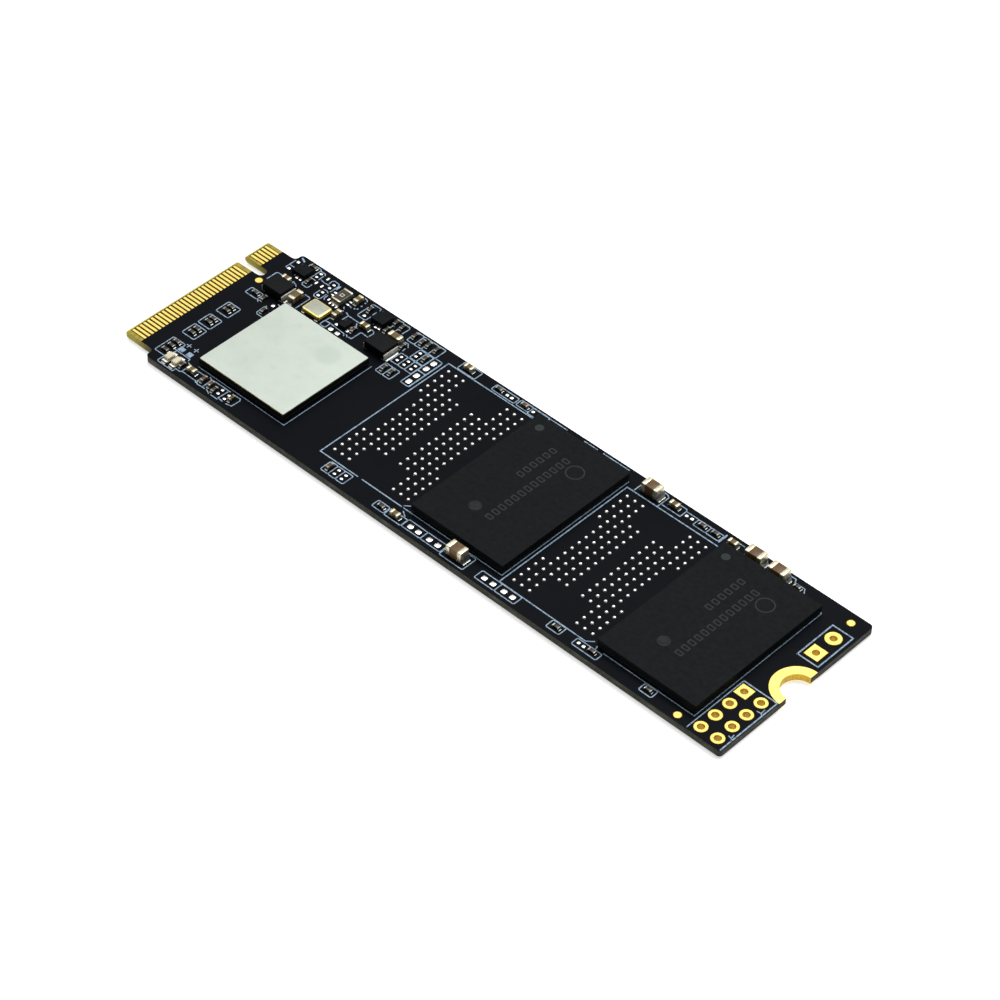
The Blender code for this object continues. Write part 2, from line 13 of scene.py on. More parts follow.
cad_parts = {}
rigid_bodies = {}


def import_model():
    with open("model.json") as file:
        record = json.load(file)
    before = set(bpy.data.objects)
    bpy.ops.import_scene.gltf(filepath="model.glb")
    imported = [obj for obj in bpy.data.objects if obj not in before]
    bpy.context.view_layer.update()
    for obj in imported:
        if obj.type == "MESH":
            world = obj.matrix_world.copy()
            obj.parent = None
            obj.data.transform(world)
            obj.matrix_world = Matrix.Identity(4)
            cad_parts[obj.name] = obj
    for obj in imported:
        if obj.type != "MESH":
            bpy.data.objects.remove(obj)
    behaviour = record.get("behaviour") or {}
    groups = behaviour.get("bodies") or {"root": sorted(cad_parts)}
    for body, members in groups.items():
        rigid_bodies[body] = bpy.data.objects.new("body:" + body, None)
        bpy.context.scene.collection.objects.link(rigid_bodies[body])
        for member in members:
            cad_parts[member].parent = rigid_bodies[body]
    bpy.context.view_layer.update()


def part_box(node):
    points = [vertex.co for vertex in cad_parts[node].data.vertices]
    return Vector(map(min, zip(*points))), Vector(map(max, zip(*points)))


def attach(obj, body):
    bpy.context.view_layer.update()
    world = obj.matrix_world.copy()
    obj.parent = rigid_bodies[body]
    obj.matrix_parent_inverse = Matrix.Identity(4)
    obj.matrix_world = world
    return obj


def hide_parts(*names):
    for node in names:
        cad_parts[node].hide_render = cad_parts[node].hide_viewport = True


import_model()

MM = 0.001
BOARD_LOW, BOARD_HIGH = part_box("circuit_board")
LENGTH = (BOARD_HIGH.x - BOARD_LOW.x) / MM
WIDTH = (BOARD_HIGH.y - BOARD_LOW.y) / MM
TOP = BOARD_HIGH.z / MM       # component side of the board
SHOULDER = 4.15               # where the connector tongue meets the full width
TONGUE = 19.85
MASK_EDGE = 2.3               # solder mask starts here on the tongue
COPPER = 0.03                 # thickness of contacts and pads
SUNK = 0.01                   # how far a piece reaches into what it stands on, or clears it

SHARP = 38                    # degrees; a steeper fold shows as an edge
EVEN = (1, 1, 1)              # noise that is not drawn out along any axis
NOISE_ROUGHNESS = 0.55
FLOOR_HALF = 1.5              # the floor, lights and camera are in metres
FLOOR_GAP = 0.0002
FLOOR_GLOW = 0.55
SKY = (-0.35, 0.45, 0.82)     # towards the brightest part of the sky
SKY_FALL = {"From Min": 0.1, "From Max": 0.95, "To Min": 0.1, "To Max": 0.78}
LENS = 124.4
CAMERA = (0.16311, -0.17982, 0.23129)
CAMERA_TARGET = (0.00369, -0.00122, 0.0008)
CAMERA_ROLL = 2.144           # degrees

# ---- the board: sizes and places --------------------------------------------------------------
WALL = 0.04                   # plating on the walls of holes
TONGUE_CORNER = 0.15
TONGUE_FILLET = 0.5
BOARD_CORNER = 0.4
KEY_CENTRE = 6.125
KEY_WIDTH = 1.2
KEY_DEPTH = 3.6
KEY_ROUND = KEY_WIDTH / 2 - 0.01
BEVEL_LENGTH = 0.3
BEVEL_DROP = 0.15
BORE = 1.75                   # half hole for the fixing screw
RING = 2.75                   # outer radius of its plating
HALF_STEPS = 40
PITCH = 0.5                   # contact fingers
FINGER_WIDTH = 0.3
FINGER_START = 0.4
FINGER_EASE = 0.02
FINGERS = {"top": ((-9.25, 29), (7.25, 5)), "bottom": ((-9.0, 29), (7.5, 4))}
GAP_SHADE_DROP = 0.005              # the dark sheet of painted shade between the contacts, above their undersides
HOLE = 0.4
PAD_RISE = 0.02               # plated pads stand this far above the mask
PAD_EASE = 0.01
PAD_RELIEF = 0.012            # bare metal under the card stands this far out of the mask
PAD_CLEAR = 0.06              # solder mask stands back this far from plated holes
HOLES = [(78.3, 7.1), (78.3, 4.55)] + [(x, y) for y in (-3.85, -5.9, -7.9, -9.9)
                                       for x in (76.75, 78.75)]
SQUARE_PADS = (1, 2)
HOLE_PADS = [1.6, 1.55, 1.36] + [1.28] * 7
PAD_RIM = 0.05                # the duller edge round a gold pad
FIDUCIAL = 0.36
FIDUCIALS = [(3.85, 5.0), (78.2, 9.8), (74.3, -10.3)]
VIA = 0.2
VIA_FIELDS = [                # first via (x, y), columns, rows and spacing, on the underside
    (9.9, -7.5, 10, 10, 1.15), (28.5, -6.0, 4, 13, 1.1), (40.2, -6.5, 8, 3, 1.3),
    (40.2, 4.6, 8, 3, 1.3), (53.6, -6.0, 4, 13, 1.1), (64.9, -6.5, 8, 3, 1.3),
    (64.9, 4.6, 8, 3, 1.3), (18.2, 5.4, 6, 4, 1.1), (5.8, 4.4, 3, 4, 1.1)]
TEST_POINT = 0.45
TEST_POINTS = [(30.0 + 2.2 * index, 9.3) for index in range(5)]
TEST_POINTS += [(60.4 + 2.2 * index, -9.4) for index in range(4)] + [(6.2, -9.4), (73.8, 9.4)]

# ---- the packages: sizes and places -----------------------------------------------------------
MEMORY_GRID = (5, 8, 1.0)     # columns and rows of balls on each side of the middle, and pitch
MEMORY_BALL = 0.22
CONTROLLER_GRID = (6, 6, 0.8)
CONTROLLER_BALL = 0.2
MOULD_CORNER = 0.06
MOULD_EASE = 0.03
PIN_ONE_DOT = 0.5             # dimple in a memory package, at DOT_INSET from its corner
DIMPLE_DEPTH = 0.03
DIMPLE_FLOOR = 0.47
DOT_INSET = (1.4, 1.45)
MARK_RISE = 0.003             # marking stands this far above the compound
EJECTOR_MARK = 0.66
EJECTOR_INSET = (4.5, 4.15)
RING_MARK = (0.98, 0.86)
RING_INSET = (8.2, 3.75)
MARKING_ROWS = [              # plain frames in rows: from the corner, how many, spacing, height
    (6.5, 3.2, 13, 0.9, 0.85), (4.6, 3.0, 6, 0.92, 0.8)]
FRAME_SHARE = 0.62            # of the spacing that a frame fills
FRAME_WALLS = (0.26, 0.24)    # both walls of a frame together, across and along its row
FRAME_CORNERS = (0.1, 0.03)
SPREADER_CORNER = 0.12
DARK_PATCH_INSET = (3.1, 2.6)
DARK_PATCH_RADIUS = 2.1
BOAT_HEIGHT = 0.12            # the crystal's ceramic boat, its solder, seal ring and lid
BOAT_PAD_INSET = 0.3
BOAT_PAD_HALF = 0.25
BOAT_SOLDER = 0.16
SEAL_CORNER = 0.26
SEAL_EASE = 0.03
LID_CORNER = 0.24
LID_STEP = 0.025
FOOT_METAL = 0.1
FOOT_RISE = 0.7               # how far an inductor's foot is folded up its end
POWER_CHIPS = {               # leads on a side, and whether the sides run along the card
    "converter_chip_1": (3, True), "converter_chip_2": (3, True), "load_switch_chip": (2, False)}
CHIP_DOT = 0.09
CHIP_DOT_INSET = 0.28
LEAD = (0.08, 0.1)
LEAD_PITCH = 0.4
LEAD_REACH = 0.03
FUSE_BAR = 0.2
FUSE_MARGIN = 0.09
FUSE_FRAME = (0.44, 0.28)     # outer and inner size of the square mark
FUSE_DROPS = (0.03, 0.08, 0.015, 0.12)  # below the top: core's top, sheet's two faces, bars
LED_BASE = 0.12
LED_BASE_INSET = (0.06, 0.04)
LED_LENS_INSET = (0.07, 0.3)
LED_LENS_START = 0.1
LED_END = 0.24
LED_END_INSET = 0.1
LED_END_RISE = 0.2
CHIP_WAIST = 0.02             # the body of a chip part is this much thinner than its caps
CHIP_FORMS = {                # cap length, edge radius, then reach and share of height of the solder
    "0805": (0.56, 0.13, 0.3, 0.45), "0603": (0.42, 0.09, 0.22, 0.45),
    "0402": (0.3, 0.06, 0.16, 0.45), "small": (0.18, 0.04, 0.14, 0.5),
    "resistor": (0.15, 0.025, 0.12, 0.6)}
HIDDEN_FINISHES = {"controller_die": "silicon", "die_stack": "silicon", "blank": "quartz",
                   "coil": "copper"}
RESISTOR = (0.8, 0.4)
RESISTOR_TOP = 0.26           # tops of small parts, above the mask
OVERCOAT = (0.22, 0.275)
OVERCOAT_MARGIN = (0.3, 0.04)
SMALL_CAPACITOR = (0.82, 0.42)
SMALL_CAPACITOR_TOP = 0.38
RESISTORS_ALONG = [
    (6.43, 10.38), (5.1, 3.35), (32.8, 10.25), (59.9, 9.8), (61.5, 9.85), (71.65, 9.85),
    (36.25, -9.95), (59.05, -9.95), (63.5, -9.93), (70.4, -9.92)]
RESISTORS_ALONG += [(5.0, y) for y in (0.0, -0.65, -2.5, -3.15, -4.75, -5.45, -7.5, -8.25, -9.1)]
RESISTORS_ACROSS = [
    (7.57, 8.55), (7.65, 2.0), (7.9, -9.5), (12.85, -9.78), (15.25, 9.75), (18.57, 10.17),
    (18.62, 8.7), (19.5, 10.12), (21.32, 10.08), (22.5, 9.9), (23.28, 10.03), (24.35, 10.1),
    (24.45, 8.3), (22.45, 4.4), (23.45, 4.45), (21.5, 8.0), (6.3, 3.35), (16.25, 6.3)]
SMALL_CAPACITORS = [((11.05, -9.5), True), ((12.1, -9.5), True), ((15.05, -9.5), True),
                    ((28.85, -9.55), True), ((36.3, 10.2), False)]

# ---- bare pads and printed lines: sizes and places --------------------------------------------
FOOTPRINTS = [(32.4, 0.6), (57.05, -0.2)]
FOOTPRINT_PAD = ((0.19, 0.19), 0.17)    # half lengths and height of the solder on it
PAIR_PAD = ((0.19, 0.16), 0.07)
PAIR_REACH = 0.32             # from the middle of a pair to each of its pads
BARE_PAIRS = [
    (23.45, 8.28), (22.5, 6.55), (23.48, 6.55), (24.45, 6.55), (29.8, -9.53), (30.8, -9.57),
    (7.65, 9.87), (9.85, 9.57), (9.8, 7.97), (13.43, -9.52), (14.47, -9.62)]
PAD_DOME = 0.075
PADS = {                      # (length, width) of a pad: where it is
    (0.38, 0.36): [
        (4.65, 9.87), (4.65, 8.52), (6.3, 8.08), (6.8, 8.08), (33.93, 10.22), (34.55, 10.22),
        (37.43, 10.22), (57.9, 9.82), (58.55, 9.85), (61.87, -9.95), (62.5, -9.97), (15.4, 8.72),
        (17.47, 8.3), (17.9, 8.35), (15.85, 6.45), (15.85, 5.8), (14.35, 5.78)],
    (0.58, 0.72): [(25.5, 8.42), (25.5, 7.35), (25.52, 5.93), (25.55, 4.8)],
    (0.4, 0.45): [(7.75, 3.25)],
    (0.62, 0.6): [(40.15, -9.9), (41.2, -9.9), (42.65, -9.9), (43.75, -9.9), (49.9, -9.95),
                 (51.0, -9.95), (52.4, -9.95), (53.5, -9.95)],
    (0.55, 0.5): [(14.45, 4.85), (15.4, 4.85)],
    (0.26, 0.48): [(8.75, 10.15), (8.3, 8.9), (9.1, 8.9)],
    (0.42, 0.24): [(10.8, 9.17), (10.85, 8.72), (12.95, 9.2), (12.95, 8.73)],
    (0.24, 0.42): [(11.08, 7.95), (11.55, 7.65), (12.0, 7.68), (12.45, 7.65)],
}
INK = 0.012                   # thickness of the printed lines
INK_DEPTH = 0.005             # how far they reach into the mask
INK_WIDTH = 0.11
INK_LEVELS = [TOP + INK + step for step in (0, 0.004, 0.008, 0.002, 0.006, 0.01)]
PLUS_ARM = 0.28
PLUS_SIGNS = [(6.25, -7.0), (7.3, -7.0)]
INK_DOT = 0.1
INK_DOTS = [(14.15, 10.15), (14.2, 9.55), (14.2, 8.95), (13.95, 8.75), (13.35, 7.7)]
CELL_CORNERS = (0.22, 0.12)   # outer and inner corner radius of a printed frame
CELL_ROWS = [                 # y from, y to, then the x of each wall between the frames of a row
    (2.75, 3.75, 4.15, 5.85), (-1.35, 0.5, 4.15, 5.9), (-3.85, -2.1, 4.15, 5.9),
    (-6.05, -4.25, 4.15, 5.9), (-9.75, -7.15, 4.15, 5.9), (7.4, 9.0, 23.1, 24.0, 24.95),
    (5.7, 7.3, 22.05, 23.05, 24.0, 24.95), (6.65, 9.1, 25.0, 26.1), (4.15, 6.6, 25.0, 26.1),
    (3.6, 5.15, 22.0, 23.0, 24.0), (9.6, 10.85, 27.6, 30.0), (9.75, 10.65, 32.15, 35.2),
    (9.8, 10.7, 35.45, 37.1), (9.65, 10.7, 37.1, 39.3), (9.3, 10.25, 59.1, 60.7, 62.3),
    (-10.35, -8.85, 28.35, 29.35, 30.35, 31.4), (-10.45, -9.45, 35.45, 37.0),
    (-10.5, -9.45, 37.1, 39.35), (-10.45, -9.3, 39.4, 41.9, 44.5), (-10.65, -8.7, 44.6, 47.65),
    (-10.55, -9.35, 49.1, 51.65, 54.2), (-10.5, -9.4, 58.2, 59.85), (-10.5, -9.55, 61.4, 64.45),
    (-10.45, -9.45, 69.65, 71.2), (4.6, 5.4, 13.1, 13.85),
    (9.1, 10.7, 21.05, 22.05, 23.05, 24.05, 25.05)]
OTHER_LINES = {               # width: the lines drawn with it
    0.08: [
        [(9.2, -8.5), (21.4, -8.5), (21.4, 3.7)]],
    0.13: [
        [(38.2, 9.5), (26.55, 9.5), (26.55, -8.55), (31.7, -8.55)], [(32.3, -8.55), (37.6, -8.55)],
        [(62.7, 8.75), (51.2, 8.75), (51.2, -9.3), (62.1, -9.35)]],
    0.15: [
        [(75.85, -2.85), (79.85, -2.85), (79.85, -10.8)],
        [(77.2, 3.25), (79.6, 3.25), (79.6, 8.4), (77.15, 8.4), (77.15, 3.2)]],
    0.2: [
        [(4.55, 10.6), (5.05, 10.35)], [(10.5, 9.6), (10.5, 10.15)], [(62.4, 9.3), (62.4, 10.5)],
        [(5.85, -7.7), (6.4, -7.7)], [(5.85, -7.9), (6.4, -7.9)], [(5.85, -8.1), (6.4, -8.1)],
        [(7.05, -7.7), (7.55, -7.7)], [(7.05, -7.9), (7.55, -7.9)], [(7.05, -8.1), (7.55, -8.1)]],
}
LINES = [
    # test connector at the screw end
    [(75.85, -2.85), (75.85, -10.8)],
    [(79.85, -5.05), (79.6, -4.85), (79.15, -4.9)], [(79.6, -4.85), (79.55, -4.3)],
    [(79.85, -9.3), (79.65, -9.1), (79.3, -9.0)], [(79.65, -9.1), (79.55, -8.6)],
    # memory packages
    [(37.9, -8.55), (50.8, -8.55), (50.8, 9.4)], [(37.1, 10.65), (41.6, 10.65)],
    [(43.9, 10.65), (45.6, 10.65)], [(46.4, 10.65), (49.8, 10.65)],
    [(64.4, -9.35), (75.45, -9.35), (75.45, 8.75), (75.2, 9.0)],
    [(37.7, -8.3), (38.2, -7.9)], [(38.2, -8.9), (38.8, -9.3)],
    [(62.15, -9.35), (62.8, -8.8)], [(63.4, -9.1), (63.5, -9.4)],
    # beside the first bare memory footprint
    [(26.15, 4.2), (26.15, 8.8)],
    # first converter
    [(4.25, 9.9), (4.25, 8.5), (4.5, 8.4)], [(4.25, 9.0), (5.1, 9.0)],
    [(5.85, 10.2), (5.85, 10.55), (6.0, 10.7), (7.15, 10.7), (7.35, 10.5)],
    [(7.3, 10.5), (7.3, 7.85), (7.5, 7.65), (8.1, 7.65), (8.2, 7.75), (8.2, 8.3)],
    [(7.3, 10.5), (8.0, 10.5), (8.15, 10.3)], [(8.1, 10.1), (8.15, 9.4)],
    [(7.3, 9.1), (8.0, 9.05)], [(8.35, 9.55), (8.9, 9.45), (9.5, 9.5)],
    [(9.35, 9.7), (9.3, 10.2), (9.5, 10.4), (10.1, 10.35), (10.35, 10.1), (10.35, 8.9)],
    [(9.55, 8.7), (10.0, 8.75), (10.3, 8.6)],
    [(9.4, 8.3), (9.4, 7.45), (9.6, 7.25), (10.2, 7.25), (10.35, 7.4), (10.35, 8.3)],
    [(10.55, 8.3), (10.6, 7.75), (10.75, 7.6)],
    [(4.25, 5.8), (4.25, 7.1), (4.4, 7.25), (5.0, 7.25)], [(6.5, 7.35), (7.0, 7.2), (7.25, 7.0)],
    [(8.85, 6.75), (9.5, 6.75), (9.65, 6.6), (9.65, 4.6)],
    # fuse and load switch
    [(13.6, 10.7), (14.0, 10.6), (14.1, 10.45)], [(13.2, 8.75), (13.6, 8.65)],
    [(13.0, 8.2), (13.2, 8.0)],
    [(15.0, 10.1), (14.8, 10.3), (14.85, 10.6), (15.9, 10.65), (16.05, 10.35)],
    [(14.8, 9.9), (14.8, 8.4), (14.95, 8.25), (15.9, 8.25), (16.0, 8.4), (16.0, 9.0)],
    [(15.95, 9.4), (15.95, 9.9)],
    [(13.8, 7.75), (14.3, 7.55), (15.9, 7.55)], [(14.3, 7.5), (14.25, 6.7)],
    [(15.75, 7.3), (16.05, 6.9)], [(13.5, 5.45), (14.3, 5.4), (15.9, 5.3), (16.1, 5.05)],
    [(13.15, 6.0), (13.15, 5.4)],
    # second converter
    [(18.6, 8.1), (18.55, 10.5), (18.7, 10.7), (19.0, 10.75), (19.2, 10.6)],
    [(19.3, 10.65), (20.0, 10.65), (20.15, 10.4), (20.1, 9.4)], [(19.3, 10.5), (19.3, 9.3)],
    [(17.35, 7.65), (17.6, 7.7), (17.9, 7.6), (18.05, 7.3), (18.0, 6.8)],
    [(18.0, 6.6), (17.1, 6.65), (17.0, 6.5), (17.0, 5.5), (16.95, 5.25), (16.65, 5.25)],
    [(16.2, 5.35), (16.5, 5.15)], [(21.2, 8.7), (21.6, 8.75), (22.0, 8.35)],
    [(21.9, 8.0), (21.95, 7.6)],
    # beside the first inductor
    [(5.85, 2.9), (6.2, 2.6)], [(7.35, 2.7), (7.25, 2.4), (7.3, 1.4), (7.5, 1.2), (8.35, 1.2)],
    [(8.0, 3.75), (8.35, 3.65)],
    # status lights
    [(5.7, -8.35), (7.8, -8.35), (7.85, -8.6)],
    [(5.6, -9.8), (5.55, -10.6), (5.7, -10.75), (7.8, -10.75), (7.85, -10.5)],
    [(8.1, -8.8), (8.4, -8.9), (8.55, -9.15), (8.5, -10.1)],
    [(7.75, -10.3), (8.4, -10.3), (8.6, -10.12), (10.5, -10.15), (10.7, -10.3)],
    [(9.6, -9.0), (10.6, -9.0), (10.7, -9.1), (10.65, -10.1)],
    # below the controller
    [(10.7, -9.9), (10.8, -10.25), (11.0, -10.35), (12.0, -10.3)],
    [(11.2, -8.75), (11.6, -8.95), (11.65, -10.2)], [(12.0, -8.85), (14.2, -8.85)],
    [(12.2, -10.25), (12.8, -10.5)], [(13.1, -10.5), (14.0, -10.5)],
    [(14.0, -9.0), (13.95, -10.3), (14.6, -10.35)],
    [(14.7, -8.9), (15.6, -8.85), (15.8, -9.1), (15.75, -10.2), (15.1, -10.35)],
    # long edge beyond the contacts
    [(51.95, 9.9), (51.95, 8.95)], [(54.25, 10.75), (54.7, 10.7), (55.05, 10.5), (55.05, 8.85)],
    [(55.2, 9.3), (57.5, 9.3), (57.5, 10.3), (57.3, 10.5), (56.6, 10.5)],
    [(57.6, 10.25), (59.1, 10.25)], [(63.9, 10.5), (64.6, 10.5)], [(66.9, 10.7), (67.3, 10.7)],
    [(70.1, 10.6), (70.9, 10.6), (71.1, 10.2), (72.3, 10.2), (72.6, 9.7)],
]


# ---- units and boxes --------------------------------------------------------------------------
def world(point):
    """Board millimetres to world metres."""
    return Vector(((point[0] - LENGTH / 2) * MM, point[1] * MM, point[2] * MM))


def node_box(name):
    """Lowest and highest corner of a CAD node, in board millimetres."""
    low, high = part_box(name)
    shift = Vector((LENGTH / 2, 0, 0))
    return low / MM + shift, high / MM + shift


def plan(low, high):
    """Centre and size, seen from above, of the box between two corners."""
    return ((low.x + high.x) / 2, (low.y + high.y) / 2), (high.x - low.x, high.y - low.y)


# ---- finishes ---------------------------------------------------------------------------------
def linear(colour):
    """A 0-255 display colour as linear RGBA."""
    values = [channel / 255 for channel in colour]
    return [v / 12.92 if v <= 0.04045 else ((v + 0.055) / 1.055) ** 2.4 for v in values] + [1.0]


class Finish:
    """A Principled material built up from procedural layers; sizes are in millimetres."""

    def __init__(self, name, colour, roughness, metallic=0.0, specular=0.5):
        self.material = bpy.data.materials.new(name)
        self.material.use_nodes = True
        self.tree = self.material.node_tree
        self.surface = self.tree.nodes["Principled BSDF"].inputs
        self.surface["Base Color"].default_value = linear(colour)
        self.surface["Roughness"].default_value = roughness
        self.surface["Metallic"].default_value = metallic
        self.surface["Specular IOR Level"].default_value = specular
        self.place = self.tree.nodes.new("ShaderNodeTexCoord").outputs["Object"]
        self.colour = None
        self.relief = None

    def node(self, kind, values, **settings):
        """A new node, with each socket set to a value or joined to another node's output."""
        made = self.tree.nodes.new(kind)
        for key, value in settings.items():
            setattr(made, key, value)
        for key, value in values.items():
            if isinstance(value, bpy.types.NodeSocket):
                self.tree.links.new(value, made.inputs[key])
            else:
                made.inputs[key].default_value = value
        return made

    def stretched(self, stretch):
        """Object coordinates scaled along each axis, so noise is drawn out where the scale is low."""
        if stretch == EVEN:
            return self.place
        return self.node("ShaderNodeMapping", {"Scale": stretch, "Vector": self.place}).outputs[0]

    def noise(self, size, detail, stretch=EVEN):
        return self.node("ShaderNodeTexNoise", {
            "Scale": 1 / (size * MM), "Detail": detail, "Roughness": NOISE_ROUGHNESS,
            "Vector": self.stretched(stretch)}).outputs["Fac"]

    def cells(self, size, stretch=EVEN):
        return self.node("ShaderNodeTexVoronoi", {
            "Scale": 1 / (size * MM), "Vector": self.stretched(stretch)}).outputs["Distance"]

    def spread(self, value, low, high, new_low, new_high):
        return self.node("ShaderNodeMapRange", {
            "From Min": low, "From Max": high, "To Min": new_low, "To Max": new_high,
            "Value": value}).outputs["Result"]

    def spot(self, centre, radius):
        """1 at a point on the card, falling softly to 0 at the radius."""
        away = self.node("ShaderNodeVectorMath", {0: self.place, 1: world(centre)}, operation="DISTANCE")
        return self.spread(away.outputs["Value"], 0.0, radius * MM, 1.0, 0.0)

    def height(self):
        """Height above the underside, in millimetres."""
        parts = self.node("ShaderNodeSeparateXYZ", {0: self.place})
        return self.node("ShaderNodeMath", {0: parts.outputs["Z"], 1: 1 / MM},
                         operation="MULTIPLY").outputs[0]

    def along(self):
        """Distance from the connector edge, in millimetres."""
        parts = self.node("ShaderNodeSeparateXYZ", {0: self.place})
        return self.spread(parts.outputs["X"], -LENGTH / 2 * MM, LENGTH / 2 * MM, 0.0, LENGTH)

    def tint(self, factor, colour, low=0.4, high=0.7, amount=1.0):
        """Mixes in another colour where factor rises from low to high."""
        under = self.surface["Base Color"].default_value if self.colour is None else self.colour
        mix = self.node("ShaderNodeMix", {
            0: self.spread(factor, low, high, 0.0, amount), 6: under, 7: linear(colour)},
            data_type="RGBA")
        self.colour = mix.outputs[2]
        self.tree.links.new(self.colour, self.surface["Base Color"])
        return self

    def mottle(self, size, detail, colour, low=0.4, high=0.7, amount=1.0, stretch=EVEN):
        """Another colour in soft patches of about this size."""
        return self.tint(self.noise(size, detail, stretch), colour, low, high, amount)

    def specks(self, size, colour, low, high, amount, stretch=EVEN):
        """Another colour in or between small cells."""
        return self.tint(self.cells(size, stretch), colour, low, high, amount)

    def worn(self, size, detail, low, high, stretch=EVEN):
        """Roughness that wanders between two values."""
        factor = self.noise(size, detail, stretch)
        self.tree.links.new(self.spread(factor, 0.3, 0.7, low, high), self.surface["Roughness"])
        return self

    def grain(self, size, detail, microns, stretch=EVEN):
        """Relief of a few microns, added to any relief already there."""
        values = {"Distance": microns * 1e-6, "Strength": 1.0,
                  "Height": self.noise(size, detail, stretch)}
        if self.relief is not None:
            values["Normal"] = self.relief
        self.relief = self.node("ShaderNodeBump", values).outputs["Normal"]
        self.tree.links.new(self.relief, self.surface["Normal"])
        return self


def mask():
    return (Finish("solder_mask", (8, 10, 15), 0.42, specular=0.035)
            .mottle(6.0, 4, (11, 13, 18), 0.35, 0.7)
            .mottle(0.35, 4, (6, 7, 12), 0.5, 0.8, 0.6)
            .worn(1.2, 4, 0.36, 0.5).grain(0.28, 2, 2.0).grain(0.05, 2, 0.5))


def laminate():
    """Cut glass-fibre laminate: strands in layers, with paler scuffs from the cutter."""
    made = (Finish("cut_laminate", (46, 46, 39), 0.68, specular=0.15)
            .mottle(1.6, 4, (84, 85, 75), 0.5, 0.68, stretch=(0.6, 0.6, 2.5))
            .mottle(0.12, 5, (26, 26, 22), 0.5, 0.72, 0.8, (0.25, 0.25, 3.0))
            .specks(0.16, (70, 69, 56), 0.35, 0.6, 0.4, (0.35, 0.35, 1.0)))
    mask_side = (14, 14, 17)
    made.tint(made.height(), mask_side, TOP - 3 * COPPER, TOP - COPPER)
    made.tint(made.height(), mask_side, 3 * COPPER, COPPER)
    made.tint(made.along(), (170, 158, 64), SHOULDER, 1.2, 0.95)
    return made.worn(0.3, 3, 0.55, 0.8).grain(0.1, 4, 9.0, (0.3, 0.3, 3.0))


def bed():
    """Painted shade: a dark brown sheet between the contacts, where the bare laminate lies in shade."""
    return (Finish("contact_bed", (62, 38, 2), 0.5, specular=0.08)
            .mottle(0.2, 3, (44, 26, 2)).grain(0.1, 3, 2.0))


def tongue():
    """Bare laminate beside the contacts, yellow with the weave showing through."""
    return (Finish("bare_laminate", (150, 134, 52), 0.5, specular=0.2)
            .mottle(0.25, 3, (168, 152, 70), stretch=(1.0, 0.4, 1.0))
            .specks(0.3, (122, 104, 34), 0.45, 0.75, 0.7).grain(0.12, 3, 3.0))


def bevel():
    """The ground bevel of the connector edge."""
    return (Finish("ground_laminate", (178, 166, 80), 0.65, specular=0.2)
            .mottle(0.3, 4, (150, 138, 58), stretch=(1.0, 0.3, 1.0))
            .grain(0.07, 4, 4.0, (3.0, 0.2, 1.0)))


def gold():
    """Hard gold with fine wear lines along the card from being plugged in."""
    return (Finish("hard_gold", (255, 230, 122), 0.26, 0.5)
            .mottle(0.5, 3, (255, 212, 88), 0.45, 0.75)
            .worn(0.09, 4, 0.18, 0.38, (0.12, 1.0, 1.0))
            .grain(0.03, 3, 0.5, (0.06, 1.0, 1.0)).grain(0.3, 2, 1.2))


def soft_gold():
    """Immersion gold on pads, the mounting ring and the fiducials."""
    return (Finish("immersion_gold", (255, 226, 122), 0.32, 0.5)
            .mottle(0.7, 4, (252, 214, 100))
            .worn(0.2, 4, 0.26, 0.46).grain(0.06, 4, 1.0).grain(0.5, 2, 2.0))


def barrel():
    """Plated walls of the holes and the rims of pads, duller than the gold between them."""
    return (Finish("plated_wall", (214, 178, 54), 0.4, 0.6)
            .mottle(0.2, 4, (182, 144, 36)).grain(0.08, 3, 3.0))


def tin():
    """Shiny reflowed solder."""
    return (Finish("solder", (255, 255, 250), 0.24, 0.86)
            .mottle(0.3, 4, (230, 230, 224), 0.5, 0.8)
            .worn(0.12, 4, 0.18, 0.34).grain(0.12, 3, 1.5))


def wetted():
    """Duller solder that has flowed against a terminal."""
    return (Finish("wetted_solder", (156, 156, 148), 0.3, 0.92)
            .mottle(0.2, 4, (112, 112, 106), 0.45, 0.75)
            .worn(0.1, 4, 0.22, 0.42).grain(0.1, 3, 3.0))


def terminal():
    """Plated end terminals, matt tin with a warm cast."""
    return (Finish("terminal_tin", (224, 218, 188), 0.32, 0.88)
            .mottle(0.14, 4, (172, 162, 128), 0.45, 0.75)
            .worn(0.08, 4, 0.24, 0.44).grain(0.07, 4, 3.0))


def ink():
    """Printed lines, with the mesh of the screen just showing."""
    return (Finish("silkscreen_ink", (148, 170, 188), 0.62, specular=0.2)
            .mottle(0.22, 3, (90, 110, 132), 0.42, 0.66).grain(0.04, 2, 2.0))


def mould():
    """Fine-grained black epoxy with pale filler specks."""
    black = (8, 12, 14)
    darker = [channel * 0.84 for channel in black]
    paler = [channel * 1.5 for channel in black]
    return (Finish("mould_compound", black, 0.58, specular=0.075)
            .mottle(4.0, 4, darker).specks(0.045, paler, 0.18, 0.05, 0.35)
            .worn(0.5, 4, 0.5, 0.68).grain(0.035, 3, 2.2))


def marking():
    """Laser marking: the compound turned slightly paler."""
    return (Finish("laser_marking", (50, 53, 53), 0.7, specular=0.12)
            .mottle(0.05, 3, (32, 36, 37), 0.42, 0.66).grain(0.03, 3, 2.0))


def faint_mark():
    """The worn floor of an ejector mark, only just paler than the compound."""
    return (Finish("ejector_mark", (34, 38, 39), 0.6, specular=0.12)
            .mottle(0.4, 4, (22, 26, 28), 0.4, 0.6).grain(0.06, 3, 2.0))


